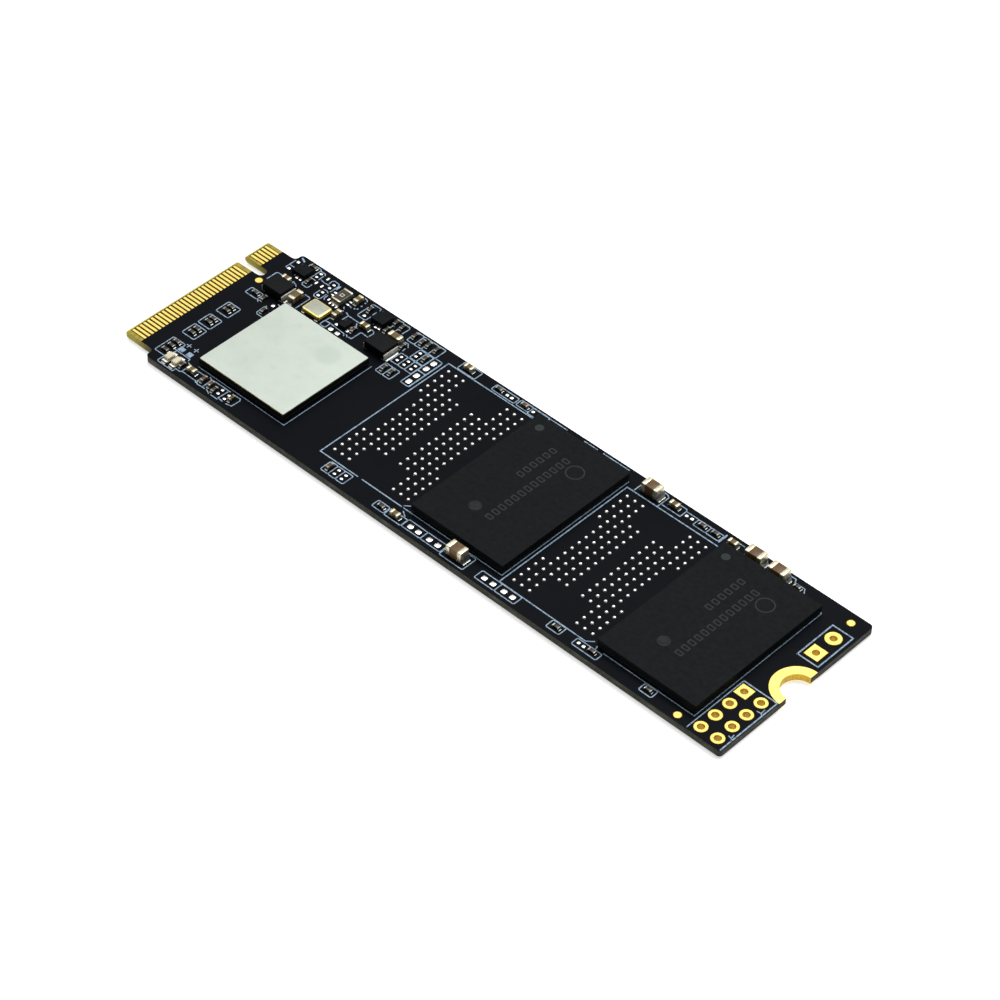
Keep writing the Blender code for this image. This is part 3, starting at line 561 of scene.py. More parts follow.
def spreader():
    """Satin nickel with faint smudges, and one soft darker patch near the far corner."""
    made = (Finish("satin_nickel", (189, 198, 188), 0.5, 0.15, specular=0.2)
            .mottle(3.2, 5, (183, 192, 182), 0.42, 0.7)
            .mottle(0.9, 5, (177, 185, 177), 0.56, 0.75, 0.5))
    high = node_box("controller_heat_spreader")[1]
    # a soft darker patch near the far corner
    dark_patch = (high.x - DARK_PATCH_INSET[0], high.y - DARK_PATCH_INSET[1], high.z)
    made.tint(made.spot(dark_patch, DARK_PATCH_RADIUS), (176, 187, 177), 0.2, 0.55, 0.8)
    return made.worn(1.4, 5, 0.42, 0.56).grain(0.05, 4, 0.6).grain(1.6, 3, 2.0)


def spreader_edge():
    """The sheared edge of the spreader, where brass-coloured copper shows."""
    return (Finish("sheared_copper", (190, 168, 84), 0.4, 1.0)
            .mottle(0.4, 4, (112, 94, 40), stretch=(0.4, 0.4, 2.0))
            .grain(0.05, 3, 3.0, (3.0, 3.0, 0.3)))


def substrate():
    return (Finish("package_laminate", (18, 21, 16), 0.5, specular=0.15)
            .mottle(0.4, 4, (30, 35, 25), 0.45, 0.75, stretch=(0.4, 0.4, 4.0)).grain(0.06, 3, 3.0))


def fired_ceramic(name, colour, shade, pale):
    """Fired ceramic: slightly mottled, glossy on the flats."""
    return (Finish(name, colour, 0.36, specular=0.3)
            .mottle(0.5, 4, shade, 0.4, 0.72).specks(0.09, pale, 0.16, 0.04, 0.4)
            .worn(0.15, 3, 0.3, 0.46).grain(0.06, 3, 2.0))


def ferrite():
    """Pressed iron powder: coarse dark grain with a few bright specks."""
    return (Finish("pressed_powder", (9, 10, 12), 0.6, specular=0.1)
            .specks(0.07, (26, 27, 28), 0.22, 0.05, 0.5).mottle(0.6, 4, (6, 7, 8), 0.45, 0.7)
            .worn(0.1, 3, 0.5, 0.7).grain(0.06, 4, 5.0))


def lid():
    return (Finish("plated_lid", (170, 172, 156), 0.42, 0.2)
            .mottle(0.8, 4, (159, 160, 144))
            .worn(0.3, 4, 0.28, 0.42).grain(0.05, 4, 0.7, (0.3, 1.0, 1.0)))


def led():
    """Cream translucent resin."""
    made = Finish("led_resin", (204, 197, 172), 0.36, specular=0.3).mottle(0.6, 3, (184, 175, 146))
    made.surface["Subsurface Weight"].default_value = 0.35
    made.surface["Subsurface Radius"].default_value = (0.6 * MM, 0.5 * MM, 0.3 * MM)
    return made.grain(0.2, 2, 2.0)


def plain(name, colour, roughness, metallic, other, size, microns):
    """A two-tone mottled finish for the small and the hidden pieces."""
    return (Finish(name, colour, roughness, metallic)
            .mottle(size, 4, other).worn(size / 2, 3, roughness * 0.8, roughness * 1.25)
            .grain(size / 4, 3, microns))


FINISHES = {make.__name__: make() for make in (
    mask, laminate, bed, tongue, bevel, gold, soft_gold, barrel, tin, wetted, terminal, ink, mould,
    marking, faint_mark, spreader, spreader_edge, substrate, ferrite, lid, led)}
FINISHES.update({
    "tented": plain("tented_copper", (16, 19, 25), 0.4, 0.0, (11, 13, 18), 0.3, 1.0),
    "brown": fired_ceramic("brown_ceramic", (98, 72, 40), (80, 58, 32), (118, 90, 54)),
    "beige": fired_ceramic("beige_ceramic", (102, 84, 48), (84, 68, 36), (122, 104, 64)),
    "dark_brown": fired_ceramic("dark_ceramic_body", (84, 62, 36), (66, 48, 28), (104, 80, 50)),
    "dim_terminal": plain("dim_tin", (166, 162, 148), 0.34, 0.85, (120, 114, 98), 0.1, 2.0),
    "fuse_side": plain("fuse_laminate", (104, 103, 94), 0.5, 0.1, (76, 75, 66), 0.3, 2.0),
    "fuse_top": plain("fuse_polymer", (32, 29, 24), 0.5, 0.0, (24, 21, 17), 0.3, 2.0),
    "foot": plain("foot_tin", (222, 220, 210), 0.42, 0.2, (188, 186, 176), 0.3, 2.0),
    "overcoat": plain("black_glaze", (16, 16, 19), 0.4, 0.0, (11, 11, 13), 0.3, 1.5),
    # the crystal boat: a dark ceramic colour that also paints the shade below its seal ring
    "ceramic": plain("dark_ceramic", (58, 44, 30), 0.5, 0.0, (42, 32, 22), 0.3, 3.0),
    "silicon": plain("silicon", (92, 95, 102), 0.15, 0.6, (78, 82, 92), 1.5, 0.2),
    "quartz": plain("quartz", (226, 236, 236), 0.06, 0.0, (210, 224, 226), 0.6, 0.2),
    "copper": plain("copper_wire", (206, 124, 84), 0.3, 1.0, (176, 96, 62), 0.2, 1.5),
})


# ---- meshes -----------------------------------------------------------------------------------
def shapes(count):
    return [bmesh.new() for _ in range(count)]


def place(name, shape, finishes, replaced=(), smooth=True):
    """Turns a bmesh in board millimetres into a piece that rides on the card."""
    for vertex in shape.verts:
        vertex.co = world(vertex.co)
    bmesh.ops.recalc_face_normals(shape, faces=shape.faces)
    mesh = bpy.data.meshes.new(name)
    shape.to_mesh(mesh)
    shape.free()
    for finish in finishes:
        mesh.materials.append(FINISHES[finish].material)
    if smooth:
        mesh.shade_smooth()
        mesh.set_sharp_from_angle(angle=math.radians(SHARP))
    piece = bpy.data.objects.new(name, mesh)
    bpy.context.scene.collection.objects.link(piece)
    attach(piece, "root")
    if replaced:
        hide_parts(*replaced)


def block(shape, low, high, radius=0.0, segments=2, finish=0):
    """A box between two corners, its edges rounded if there is a radius."""
    verts = bmesh.ops.create_cube(shape, size=1.0)["verts"]
    for vertex in verts:
        vertex.co = Vector([
            (low[axis] + high[axis]) / 2 + vertex.co[axis] * (high[axis] - low[axis])
            for axis in range(3)])
    for face in {face for vertex in verts for face in vertex.link_faces}:
        face.material_index = finish
    if radius:
        edges = {edge for vertex in verts for edge in vertex.link_edges}
        bmesh.ops.bevel(shape, geom=list(edges), offset=radius, segments=segments,
                        profile=0.5, affect="EDGES", clamp_overlap=True, material=-1)


def raise_faces(shape, faces, height):
    """Extrudes faces straight up, and gives their new vertices and faces."""
    raised = bmesh.ops.extrude_face_region(shape, geom=faces)["geom"]
    verts = [each for each in raised if isinstance(each, bmesh.types.BMVert)]
    bmesh.ops.translate(shape, vec=(0, 0, height), verts=verts)
    return verts, [each for each in raised if isinstance(each, bmesh.types.BMFace)]


def slab(shape, outline, bottom, top, finish=0, edge=0.0):
    """A flat outline raised from bottom to top, with a narrow chamfer round its upper edge."""
    base = shape.faces.new([shape.verts.new((x, y, bottom)) for x, y in outline])
    verts, upper = raise_faces(shape, [base], top - bottom)
    for face in {face for vertex in verts for face in vertex.link_faces} | {base}:
        face.material_index = finish
    if edge:
        bmesh.ops.bevel(shape, geom=list(upper[0].edges), offset=edge, segments=1,
                        affect="EDGES", clamp_overlap=True, material=-1)


def arc(centre, radius, start, end, steps):
    """Points along an arc, both ends included; the angles are in degrees."""
    angles = [math.radians(start + (end - start) * step / steps) for step in range(steps + 1)]
    return [(centre[0] + radius * math.cos(a), centre[1] + radius * math.sin(a)) for a in angles]


def circle(centre, radius, steps=32):
    return arc(centre, radius, 0, 360, steps)[:-1]


def square(centre, size):
    """A square's outline, with a point facing each point of a circle."""
    points = []
    for x, y in circle((0, 0), size / 2):
        reach = size / 2 / max(abs(x), abs(y))
        points.append((centre[0] + x * reach, centre[1] + y * reach))
    return points


def rounded(corners, steps):
    """An outline through (x, y, radius) corners, each turned by an arc of its own radius."""
    outline = []
    for index, (x, y, radius) in enumerate(corners):
        here = Vector((x, y))
        if not radius:
            outline.append((x, y))
            continue
        before = (Vector(corners[index - 1][:2]) - here).normalized()
        after = (Vector(corners[(index + 1) % len(corners)][:2]) - here).normalized()
        half_angle = before.angle(after) / 2
        centre = here + (before + after).normalized() * (radius / math.sin(half_angle))
        reach = radius / math.tan(half_angle)
        first = here + before * reach - centre
        turn = first.angle_signed(here + after * reach - centre)
        for step in range(steps + 1):
            angle = math.atan2(first.y, first.x) - turn * step / steps
            outline.append((centre.x + radius * math.cos(angle),
                            centre.y + radius * math.sin(angle)))
    return outline


def rectangle(centre, size, radius, steps=5):
    """A rectangle's outline with rounded corners."""
    half_x, half_y = size[0] / 2, size[1] / 2
    x, y = centre
    return rounded([(x - half_x, y - half_y, radius), (x + half_x, y - half_y, radius),
                    (x + half_x, y + half_y, radius), (x - half_x, y + half_y, radius)], steps)


def bridge(shape, first, second, finish=0):
    """Faces between two closed rows of points."""
    for index in range(len(first)):
        after = (index + 1) % len(first)
        face = shape.faces.new((first[index], first[after], second[after], second[index]))
        face.material_index = finish


def shell(shape, outer, inner, bottom, top, finish=0):
    """A flat ring between two outlines with the same number of points."""
    loops = [[shape.verts.new((x, y, z)) for x, y in outline]
             for outline, z in ((outer, bottom), (outer, top), (inner, top), (inner, bottom))]
    for first, second in zip(loops, loops[1:] + loops[:1]):
        bridge(shape, first, second, finish)


def loft(shape, levels, finishes=None, capped=True):
    """A solid through (outline, height) levels; finishes lists its base, each band and its top."""
    rows = [[shape.verts.new((x, y, z)) for x, y in outline] for outline, z in levels]
    finishes = finishes or [0] * (len(rows) + 1)
    for first, second, finish in zip(rows, rows[1:], finishes[1:]):
        bridge(shape, first, second, finish)
    shape.faces.new(rows[0][::-1]).material_index = finishes[0]
    if capped:
        shape.faces.new(rows[-1]).material_index = finishes[-1]
    return rows[-1]


def stepped(low, high, corner, profile):
    """Levels of a box with rounded corners, drawn in at each (inset, height) of a profile."""
    centre, size = plan(low, high)
    return [(rectangle(centre, (size[0] - 2 * inset, size[1] - 2 * inset), corner), z)
            for inset, z in profile]


def dome(shape, centre, half, height, power=2.0):
    """A low mound of solder; power 2 gives an ellipse, more gives a rounded rectangle."""
    steps, rings = 18, 5
    levels = []
    for ring in range(rings):
        reach = math.cos(math.pi / 2 * ring / rings)
        outline = []
        for step in range(steps):
            angle = 2 * math.pi * (step + 0.5) / steps
            c, s = math.cos(angle), math.sin(angle)
            grow = (abs(c) ** power + abs(s) ** power) ** (-1 / power)
            outline.append((centre[0] + half[0] * reach * grow * c,
                            centre[1] + half[1] * reach * grow * s))
        levels.append((outline, TOP - SUNK + height * math.sin(math.pi / 2 * ring / rings)))
    loft(shape, levels)


def span(centre, size, low, high, upright=False):
    """Corners of a box centred in plan; upright turns its length across the card."""
    half_x, half_y = (size[1] / 2, size[0] / 2) if upright else (size[0] / 2, size[1] / 2)
    x, y = centre
    return Vector((x - half_x, y - half_y, low)), Vector((x + half_x, y + half_y, high))


def long_axis(low, high):
    return 0 if high.x - low.x > high.y - low.y else 1


def box_piece(name, node, finish, radius, segments=2):
    """A piece that is one CAD box with its edges eased, in the slot named like its finish."""
    shape = bmesh.new()
    block(shape, *node_box(node), radius, segments)
    place(name, shape, [finish], [node])


# ---- the board --------------------------------------------------------------------------------
def board_outline(bore):
    """The card seen from above, with the key slot at the connector and the half hole."""
    half, tongue = WIDTH / 2, TONGUE / 2
    low_side, high_side = KEY_CENTRE - KEY_WIDTH / 2, KEY_CENTRE + KEY_WIDTH / 2
    lower = rounded([
        (0, low_side, 0), (0, -tongue, TONGUE_CORNER), (SHOULDER, -tongue, TONGUE_FILLET),
        (SHOULDER, -half, BOARD_CORNER), (LENGTH, -half, BOARD_CORNER), (LENGTH, 0, 0)], 8)[:-1]
    upper = rounded([
        (LENGTH, 0, 0), (LENGTH, half, BOARD_CORNER), (SHOULDER, half, BOARD_CORNER),
        (SHOULDER, tongue, TONGUE_FILLET), (0, tongue, TONGUE_CORNER), (0, high_side, 0),
        (KEY_DEPTH, high_side, KEY_ROUND), (KEY_DEPTH, low_side, KEY_ROUND),
        (0, low_side, 0)], 8)[1:-1]
    return lower + arc((LENGTH, 0), bore, 270, 90, HALF_STEPS) + upper


def cut_across(shape, x, drop_near=False):
    """Cuts all of a shape along one x, and deletes what is nearer the connector if asked to."""
    bmesh.ops.bisect_plane(shape, geom=shape.verts[:] + shape.edges[:] + shape.faces[:],
                           plane_co=(x, 0, 0), plane_no=(1, 0, 0), clear_inner=drop_near)


def plate(outline, holes, bottom, top, start=None):
    """A flat plate with holes, as a bmesh; start cuts it off square at that x."""
    shape = bmesh.new()
    for loop in [outline] + holes:
        verts = [shape.verts.new((x, y, bottom)) for x, y in loop]
        for first, second in zip(verts, verts[1:] + verts[:1]):
            shape.edges.new((first, second))
    bmesh.ops.triangle_fill(shape, edges=shape.edges[:], use_beauty=True)
    if start is not None:
        cut_across(shape, start, True)
    raise_faces(shape, shape.faces[:], top - bottom)
    return shape


def make_board():
    """Laminate core with its ground connector edge, and a mask layer on either side."""
    low, high = COPPER, TOP - COPPER
    core = plate(board_outline(BORE + WALL), [circle(spot, HOLE + WALL) for spot in HOLES], low, high)
    for cut in (BEVEL_LENGTH, MASK_EDGE):
        cut_across(core, cut)
    for vertex in core.verts:
        drop = BEVEL_DROP * max(0, 1 - vertex.co.x / BEVEL_LENGTH)
        vertex.co.z += drop if vertex.co.z < TOP / 2 else -drop
    core.normal_update()
    for face in core.faces:
        x = face.calc_center_median().x
        flat = abs(face.normal.z) > 0.5
        face.material_index = 0 if not flat or x > MASK_EDGE else 2 if x < BEVEL_LENGTH else 1
    place("board_laminate", core, ["laminate", "tongue", "bevel"],
          ["circuit_board"], smooth=False)
    holes = [circle(spot, HOLE + PAD_CLEAR) for spot in HOLES]
    for side, bottom, top in (("top", high, TOP), ("bottom", PAD_RELIEF, low)):
        layer = plate(board_outline(RING + PAD_CLEAR / 4), holes, bottom, top, MASK_EDGE)
        place("solder_mask_" + side, layer, ["mask"], smooth=False)


def make_contacts():
    """Gold contact fingers, thin plates with eased edges, over a dark sheet that paints the shade
    between them.
    """
    finger = (MASK_EDGE - FINGER_START + 2 * SUNK, FINGER_WIDTH)
    finger_middle, gap_shade_middle = (FINGER_START + MASK_EDGE) / 2, (BEVEL_LENGTH + MASK_EDGE) / 2
    for side, bottom, top, gap_shade_low in (
            ("top", TOP - COPPER - SUNK, TOP, TOP - COPPER - SUNK + GAP_SHADE_DROP),
            ("bottom", 0, COPPER + SUNK, COPPER - SUNK)):
        shape = bmesh.new()
        for first, count in FINGERS[side]:
            for index in range(count):
                block(shape, *span((finger_middle, first + index * PITCH), finger, bottom, top),
                      FINGER_EASE, 1)
            # painted shade: a dark brown sheet under the gaps between the fingers
            near, far = first - PITCH / 2, first + (count - 0.5) * PITCH
            size = (MASK_EDGE - BEVEL_LENGTH, far - near)
            block(shape, *span((gap_shade_middle, (near + far) / 2), size, gap_shade_low, gap_shade_low + SUNK),
                  finish=1)
        names = [f"edge_contacts_{side}_{group}" for group in ("main", "short")]
        place("contact_fingers_" + side, shape, ["gold", "bed"], names)


def make_mount_ring():
    """The half ring round the screw slot, plated over both faces and down the wall."""
    shape = bmesh.new()
    centre = (LENGTH, 0)
    outer = arc(centre, RING, 90, 270, HALF_STEPS)
    inner = arc(centre, BORE, 270, 90, HALF_STEPS)
    slab(shape, outer + inner, TOP - COPPER, TOP, edge=PAD_EASE)
    slab(shape, outer + inner, 0, COPPER)
    wall = arc(centre, BORE + WALL, 90, 270, HALF_STEPS)
    slab(shape, wall + inner, COPPER, TOP - COPPER, 1)
    place("mounting_ring", shape, ["soft_gold", "barrel"], ["mount_ring"])


def make_test_holes():
    """Plated holes with round or square pads, and round fiducials, all with a duller rim."""
    shape = bmesh.new()
    for index, (centre, size) in enumerate(zip(HOLES, HOLE_PADS)):
        bore, rim = circle(centre, HOLE), size + 2 * PAD_RIM
        if index in SQUARE_PADS:
            pad, rim = square(centre, size), square(centre, rim)
        else:
            pad, rim = circle(centre, size / 2), circle(centre, rim / 2)
        shell(shape, pad, bore, TOP - COPPER, TOP + PAD_RISE)
        shell(shape, pad, bore, 0, COPPER)
        shell(shape, circle(centre, HOLE + WALL), bore, COPPER, TOP - COPPER, 1)
        shell(shape, rim, pad, TOP - COPPER, TOP + PAD_RISE / 2, 1)
    for centre in FIDUCIALS:
        slab(shape, circle(centre, FIDUCIAL), TOP - SUNK, TOP + PAD_RISE, edge=PAD_EASE)
        slab(shape, circle(centre, FIDUCIAL + PAD_RIM), TOP - SUNK, TOP + PAD_RISE / 2, 1)
    place("plated_holes", shape, ["soft_gold", "barrel"])


def make_underside():
    """Vias under the mask, and gold test points, on the face that carries no part."""
    vias, points = shapes(2)
    for x, y, columns, rows, pitch in VIA_FIELDS:
        for column in range(columns):
            for row in range(rows):
                spot = (x + column * pitch, y + row * pitch)
                shell(vias, circle(spot, VIA, 12), circle(spot, VIA / 3, 12), PAD_RELIEF / 3, COPPER)
    for spot in TEST_POINTS:
        slab(points, circle(spot, TEST_POINT), 0, COPPER)
        shell(points, circle(spot, TEST_POINT + PAD_RIM), circle(spot, TEST_POINT), PAD_RELIEF / 2,
              COPPER, 1)
    place("underside_vias", vias, ["tented"])
    place("underside_test_points", points, ["soft_gold", "barrel"])


# ---- printed lines and solder -----------------------------------------------------------------
def stroke(shape, points, width, top):
    """One printed line through the points, mitred at its corners, with round ends."""
    path = [Vector(point) for point in points]
    runs = [(second - first).normalized() for first, second in zip(path, path[1:])]
    left, right = [], []
    for index, point in enumerate(path):
        before = runs[max(index - 1, 0)]
        along = (before + runs[min(index, len(runs) - 1)]).normalized()
        across = Vector((-along.y, along.x)) * (width / 2 / max(0.5, before.dot(along)))
        left.append(tuple(point + across))
        right.append(tuple(point - across))
    ahead = math.degrees(math.atan2(runs[-1].y, runs[-1].x))
    behind = math.degrees(math.atan2(-runs[0].y, -runs[0].x))
    end = arc(path[-1], width / 2, ahead + 60, ahead - 60, 3)
    start = arc(path[0], width / 2, behind + 60, behind - 60, 3)
    slab(shape, left + end + right[::-1] + start, TOP - INK_DEPTH, top)


def cell(shape, x_low, x_high, y_low, y_high, top):
    """A printed frame round the places of one or more small parts."""
    centre = ((x_low + x_high) / 2, (y_low + y_high) / 2)
    outer, inner = [
        rectangle(centre, (x_high - x_low + grow, y_high - y_low + grow), radius)
        for grow, radius in zip((INK_WIDTH, -INK_WIDTH), CELL_CORNERS)]
    shell(shape, outer, inner, TOP - INK_DEPTH, top)


def make_silkscreen():
    """Printed lines; those that cross lie at different heights, so that no two faces coincide."""
    shape = bmesh.new()
    strokes = [(points, INK_WIDTH) for points in LINES]
    for width, lines in OTHER_LINES.items():
        strokes += [(points, width) for points in lines]
    for x, y in PLUS_SIGNS:
        strokes.append(([(x - PLUS_ARM, y), (x + PLUS_ARM, y)], INK_WIDTH))
        strokes.append(([(x, y - PLUS_ARM), (x, y + PLUS_ARM)], INK_WIDTH))
    for index, (points, width) in enumerate(strokes):
        stroke(shape, points, width, INK_LEVELS[index % 3])
    cells = [(x_low, x_high, y_low, y_high) for y_low, y_high, *walls in CELL_ROWS
             for x_low, x_high in zip(walls, walls[1:])]
    for index, corners in enumerate(cells):
        cell(shape, *corners, INK_LEVELS[3 + index % 3])
    for spot in INK_DOTS:
        slab(shape, circle(spot, INK_DOT, 10), TOP - INK_DEPTH, TOP + INK)
    place("silkscreen", shape, ["ink"], smooth=False)


def ball_places(centre, half_columns, half_rows, pitch, present=lambda column, row: True):
    """Places of the balls of a package, column by column."""
    return [(centre[0] + column * pitch, centre[1] + row * pitch)
            for column in range(-half_columns, half_columns + 1)
            for row in range(-half_rows, half_rows + 1) if present(column, row)]


def memory_ball(column, row):
    """Whether a memory package has a ball at this place, counted from its centre."""
    if abs(column) == 5:
        return abs(row) >= 4
    if abs(column) >= 3:
        return True
    return column != 0 and abs(row) <= 5


def make_bare_pads():
    """Tinned pads that carry no part: two memory footprints and the small pads."""
    footprints, pads = shapes(2)
    for centre in FOOTPRINTS:
        for spot in ball_places(centre, *MEMORY_GRID, memory_ball):
            dome(footprints, spot, *FOOTPRINT_PAD)
    for (length, width), centres in PADS.items():
        for spot in centres:
            dome(pads, spot, (length / 2, width / 2), PAD_DOME, 5.0)
    for x, y in BARE_PAIRS:
        for side in (-1, 1):
            dome(pads, (x, y + side * PAIR_REACH), *PAIR_PAD, 3.0)
    place("memory_footprint_pads", footprints, ["tin"])
    place("bare_pads", pads, ["tin"])


def fillet(shape, corner, half_width, reach, height, direction):
    """Solder that climbs the end of a part in a hollow curve; direction is 0 +x, 1 +y, 2 -x, 3 -y."""
    steps, inside, narrowing = 5, -0.05, 0.25
    curve = [(reach, -SUNK)]
    for step in range(steps + 1):
        turn = math.pi / 2 * step / steps
        curve.append((reach * (1 - math.sin(turn)), height * (1 - math.cos(turn))))
    curve += [(inside, height), (inside, -SUNK)]
    rows = []
    for side in (-1, 1):
        row = []
        for out, up in curve:
            spot = Vector((out, side * half_width * (1 - narrowing * max(0, out) / reach)))
            spot.rotate(Matrix.Rotation(math.pi / 2 * direction, 2))
            row.append(shape.verts.new((corner[0] + spot.x, corner[1] + spot.y, TOP + up)))
        rows.append(row)
    bridge(shape, *rows)
    shape.faces.new(rows[0])
    shape.faces.new(rows[1][::-1])


def end_fillets(shape, low, high, reach, share):
    """Fillets at both ends of a part lying along its longer side, up to a share of its height."""
    axis = long_axis(low, high)
    half_width = (high[1 - axis] - low[1 - axis]) / 2
    for end, direction in ((high, axis), (low, axis + 2)):
        corner = list(((low + high) / 2).xy)
        corner[axis] = end[axis]
        fillet(shape, corner, half_width, reach, (high.z - TOP) * share, direction)


def chip_part(bodies, ends, solder, low, high, form):
    """A small two-terminal part: a body, a metal cap wrapped round either end, and its solder."""
    cap, radius, reach, share = CHIP_FORMS[form]
    axis = long_axis(low, high)
    waist = Vector((CHIP_WAIST,) * 3)
    body_low, body_high = low + waist, high - waist
    body_low[axis] = low[axis] + cap * 0.7
    body_high[axis] = high[axis] - cap * 0.7
    block(bodies, body_low, body_high, radius * 0.6)
    first_high, second_low = high.copy(), low.copy()
    first_high[axis] = low[axis] + cap
    second_low[axis] = high[axis] - cap
    block(ends, low, first_high, radius, 3)
    block(ends, second_low, high, radius, 3)
    end_fillets(solder, low, high, reach, share)


def make_capacitors():
    """Ceramic capacitors in three sizes, with their end caps and solder."""
    solder = bmesh.new()
    for kind, finish, slot in (("0805", "brown", "capacitor"), ("0603", "beige", "capacitor_pale"),
                               ("0402", "beige", "capacitor_pale")):
        bodies, ends = shapes(2)
        nodes = sorted(name for name in NODES if name.startswith("capacitor_" + kind))
        for number in sorted({name.split("_")[2] for name in nodes}, key=int):
            boxes = [node_box(name) for name in nodes if name.split("_")[2] == number]
            low = Vector([min(box[0][axis] for box in boxes) for axis in range(3)])
            high = Vector([max(box[1][axis] for box in boxes) for axis in range(3)])
            chip_part(bodies, ends, solder, low, high, kind)
        body_nodes = [name for name in nodes if "terminal" not in name]
        end_nodes = [name for name in nodes if "terminal" in name]
        place(f"capacitors_{kind}_bodies", bodies, [finish], body_nodes)
        place(f"capacitors_{kind}_ends", ends, ["terminal"], end_nodes)
    brown, ends = shapes(2)
    for centre, upright in SMALL_CAPACITORS:
        low, high = span(centre, SMALL_CAPACITOR, TOP + SUNK, TOP + SMALL_CAPACITOR_TOP, upright)
        chip_part(brown, ends, solder, low, high, "small")
    place("small_capacitors", brown, ["dark_brown"])
    place("small_capacitor_ends", ends, ["dim_terminal"])
    place("capacitor_solder", solder, ["wetted"])


def make_resistors():
    """Tiny fitted resistors: dark bodies under a raised black overcoat, with bright ends."""
    bodies, glaze, ends, solder = shapes(4)
    cover = (RESISTOR[0] - OVERCOAT_MARGIN[0], RESISTOR[1] - OVERCOAT_MARGIN[1])
    for upright, centres in ((False, RESISTORS_ALONG), (True, RESISTORS_ACROSS)):
        for centre in centres:
            low, high = span(centre, RESISTOR, TOP + SUNK, TOP + RESISTOR_TOP, upright)
            chip_part(bodies, ends, solder, low, high, "resistor")
            block(glaze, *span(centre, cover, TOP + OVERCOAT[0], TOP + OVERCOAT[1], upright), 0.02)
    place("resistor_bodies", bodies, ["overcoat"])
    place("resistor_glaze", glaze, ["overcoat"])
    place("resistor_ends", ends, ["dim_terminal"])
    place("resistor_solder", solder, ["wetted"])


# ---- packages ---------------------------------------------------------------------------------
def make_balls(name, node, places, radius):
    """Solder balls, barrel-shaped where they were pressed between board and package."""
    low, high = node_box(node)
    neck = 0.72
    profile = [(radius * (neck + (1 - neck) * math.sin(math.pi * share)),
                low.z + (high.z - low.z) * share) for share in (0, 0.2, 0.5, 0.8, 1)]
    shape = bmesh.new()
    for spot in places:
        loft(shape, [(circle(spot, reach, 12), z) for reach, z in profile])
    place(name, shape, ["tin"], [node])


def edge_loop(shape, verts):
    """The edges between neighbours in a closed row of vertices."""
    return [shape.edges.get(pair) for pair in zip(verts, verts[1:] + verts[:1])]


def make_memory_mould(prefix, low, high, dot):
    """The moulded cap, with eased corners and the pin-one dimple sunk in its top."""
    shape = bmesh.new()
    profile = [(0, low.z), (0, high.z - MOULD_EASE), (MOULD_EASE, high.z)]
    edges = edge_loop(shape, loft(shape, stepped(low, high, MOULD_CORNER, profile), capped=False))
    upper, lower = [
        [shape.verts.new((x, y, high.z - depth)) for x, y in circle(dot, PIN_ONE_DOT - depth / 2)]
        for depth in (0, DIMPLE_DEPTH)]
    bridge(shape, upper, lower)
    shape.faces.new(lower)
    bmesh.ops.triangle_fill(shape, edges=edges + edge_loop(shape, upper), use_beauty=True)
    place(prefix + "_mould", shape, ["mould"], [prefix + "_mould_cap"])


def make_memory_marks(prefix, low, high, dot):
    """The floor of the dimple, an ejector mark, and plain marking: a ring and rows of frames."""
    shape = bmesh.new()
    bottom, top = high.z - SUNK, high.z + MARK_RISE
    slab(shape, circle(dot, DIMPLE_FLOOR), high.z - DIMPLE_DEPTH - 0.005, high.z - DIMPLE_DEPTH + 0.008)
    ejector = (low.x + EJECTOR_INSET[0], low.y + EJECTOR_INSET[1])
    slab(shape, circle(ejector, EJECTOR_MARK), bottom, top, 1)
    ring = (low.x + RING_INSET[0], high.y - RING_INSET[1])
    shell(shape, circle(ring, RING_MARK[0]), circle(ring, RING_MARK[1]), bottom, top)
    for x, y, count, pitch, size in MARKING_ROWS:
        outer = (size, pitch * FRAME_SHARE)
        inner = (outer[0] - FRAME_WALLS[0], outer[1] - FRAME_WALLS[1])
        for index in range(count):
            centre = (low.x + x, high.y - y - index * pitch)
            shell(shape, rectangle(centre, outer, FRAME_CORNERS[0], 2),
                  rectangle(centre, inner, FRAME_CORNERS[1], 2), bottom, top)
    place(prefix + "_marks", shape, ["marking", "faint_mark"])


def make_memory(number):
    """A memory package: its moulded cap with marks, its substrate and its balls."""
    prefix = f"memory_{number}"
    low, high = node_box(prefix + "_mould_cap")
    dot = (low.x + DOT_INSET[0], high.y - DOT_INSET[1])
    make_memory_mould(prefix, low, high, dot)
    make_memory_marks(prefix, low, high, dot)
    box_piece(prefix + "_board", prefix + "_substrate", "substrate", 0.015, 1)
    places = ball_places(plan(low, high)[0], *MEMORY_GRID, memory_ball)
    make_balls(prefix + "_balls", prefix + "_solder_balls", places, MEMORY_BALL)


def make_controller():
    """The controller: a moulded cap under a metal spreader whose sheared edge shows."""
    box_piece("controller_mould", "controller_mould_cap", "mould", 0.03)
    box_piece("controller_board", "controller_substrate", "substrate", 0.015, 1)
    low, high = node_box("controller_heat_spreader")
    sheared = [(0.03, low.z), (0.0, low.z + 0.02), (0.0, high.z - 0.045)]
    rolled = [(0.015, high.z - 0.015), (0.05, high.z)]
    shape = bmesh.new()
    loft(shape, stepped(low, high, SPREADER_CORNER, sheared + rolled), [1, 1, 1, 1, 0, 0])
    place("heat_spreader", shape, ["spreader", "spreader_edge"],
          ["controller_heat_spreader"])
    centre = plan(*node_box("controller_mould_cap"))[0]
    make_balls("controller_balls", "controller_solder_balls",
               ball_places(centre, *CONTROLLER_GRID), CONTROLLER_BALL)


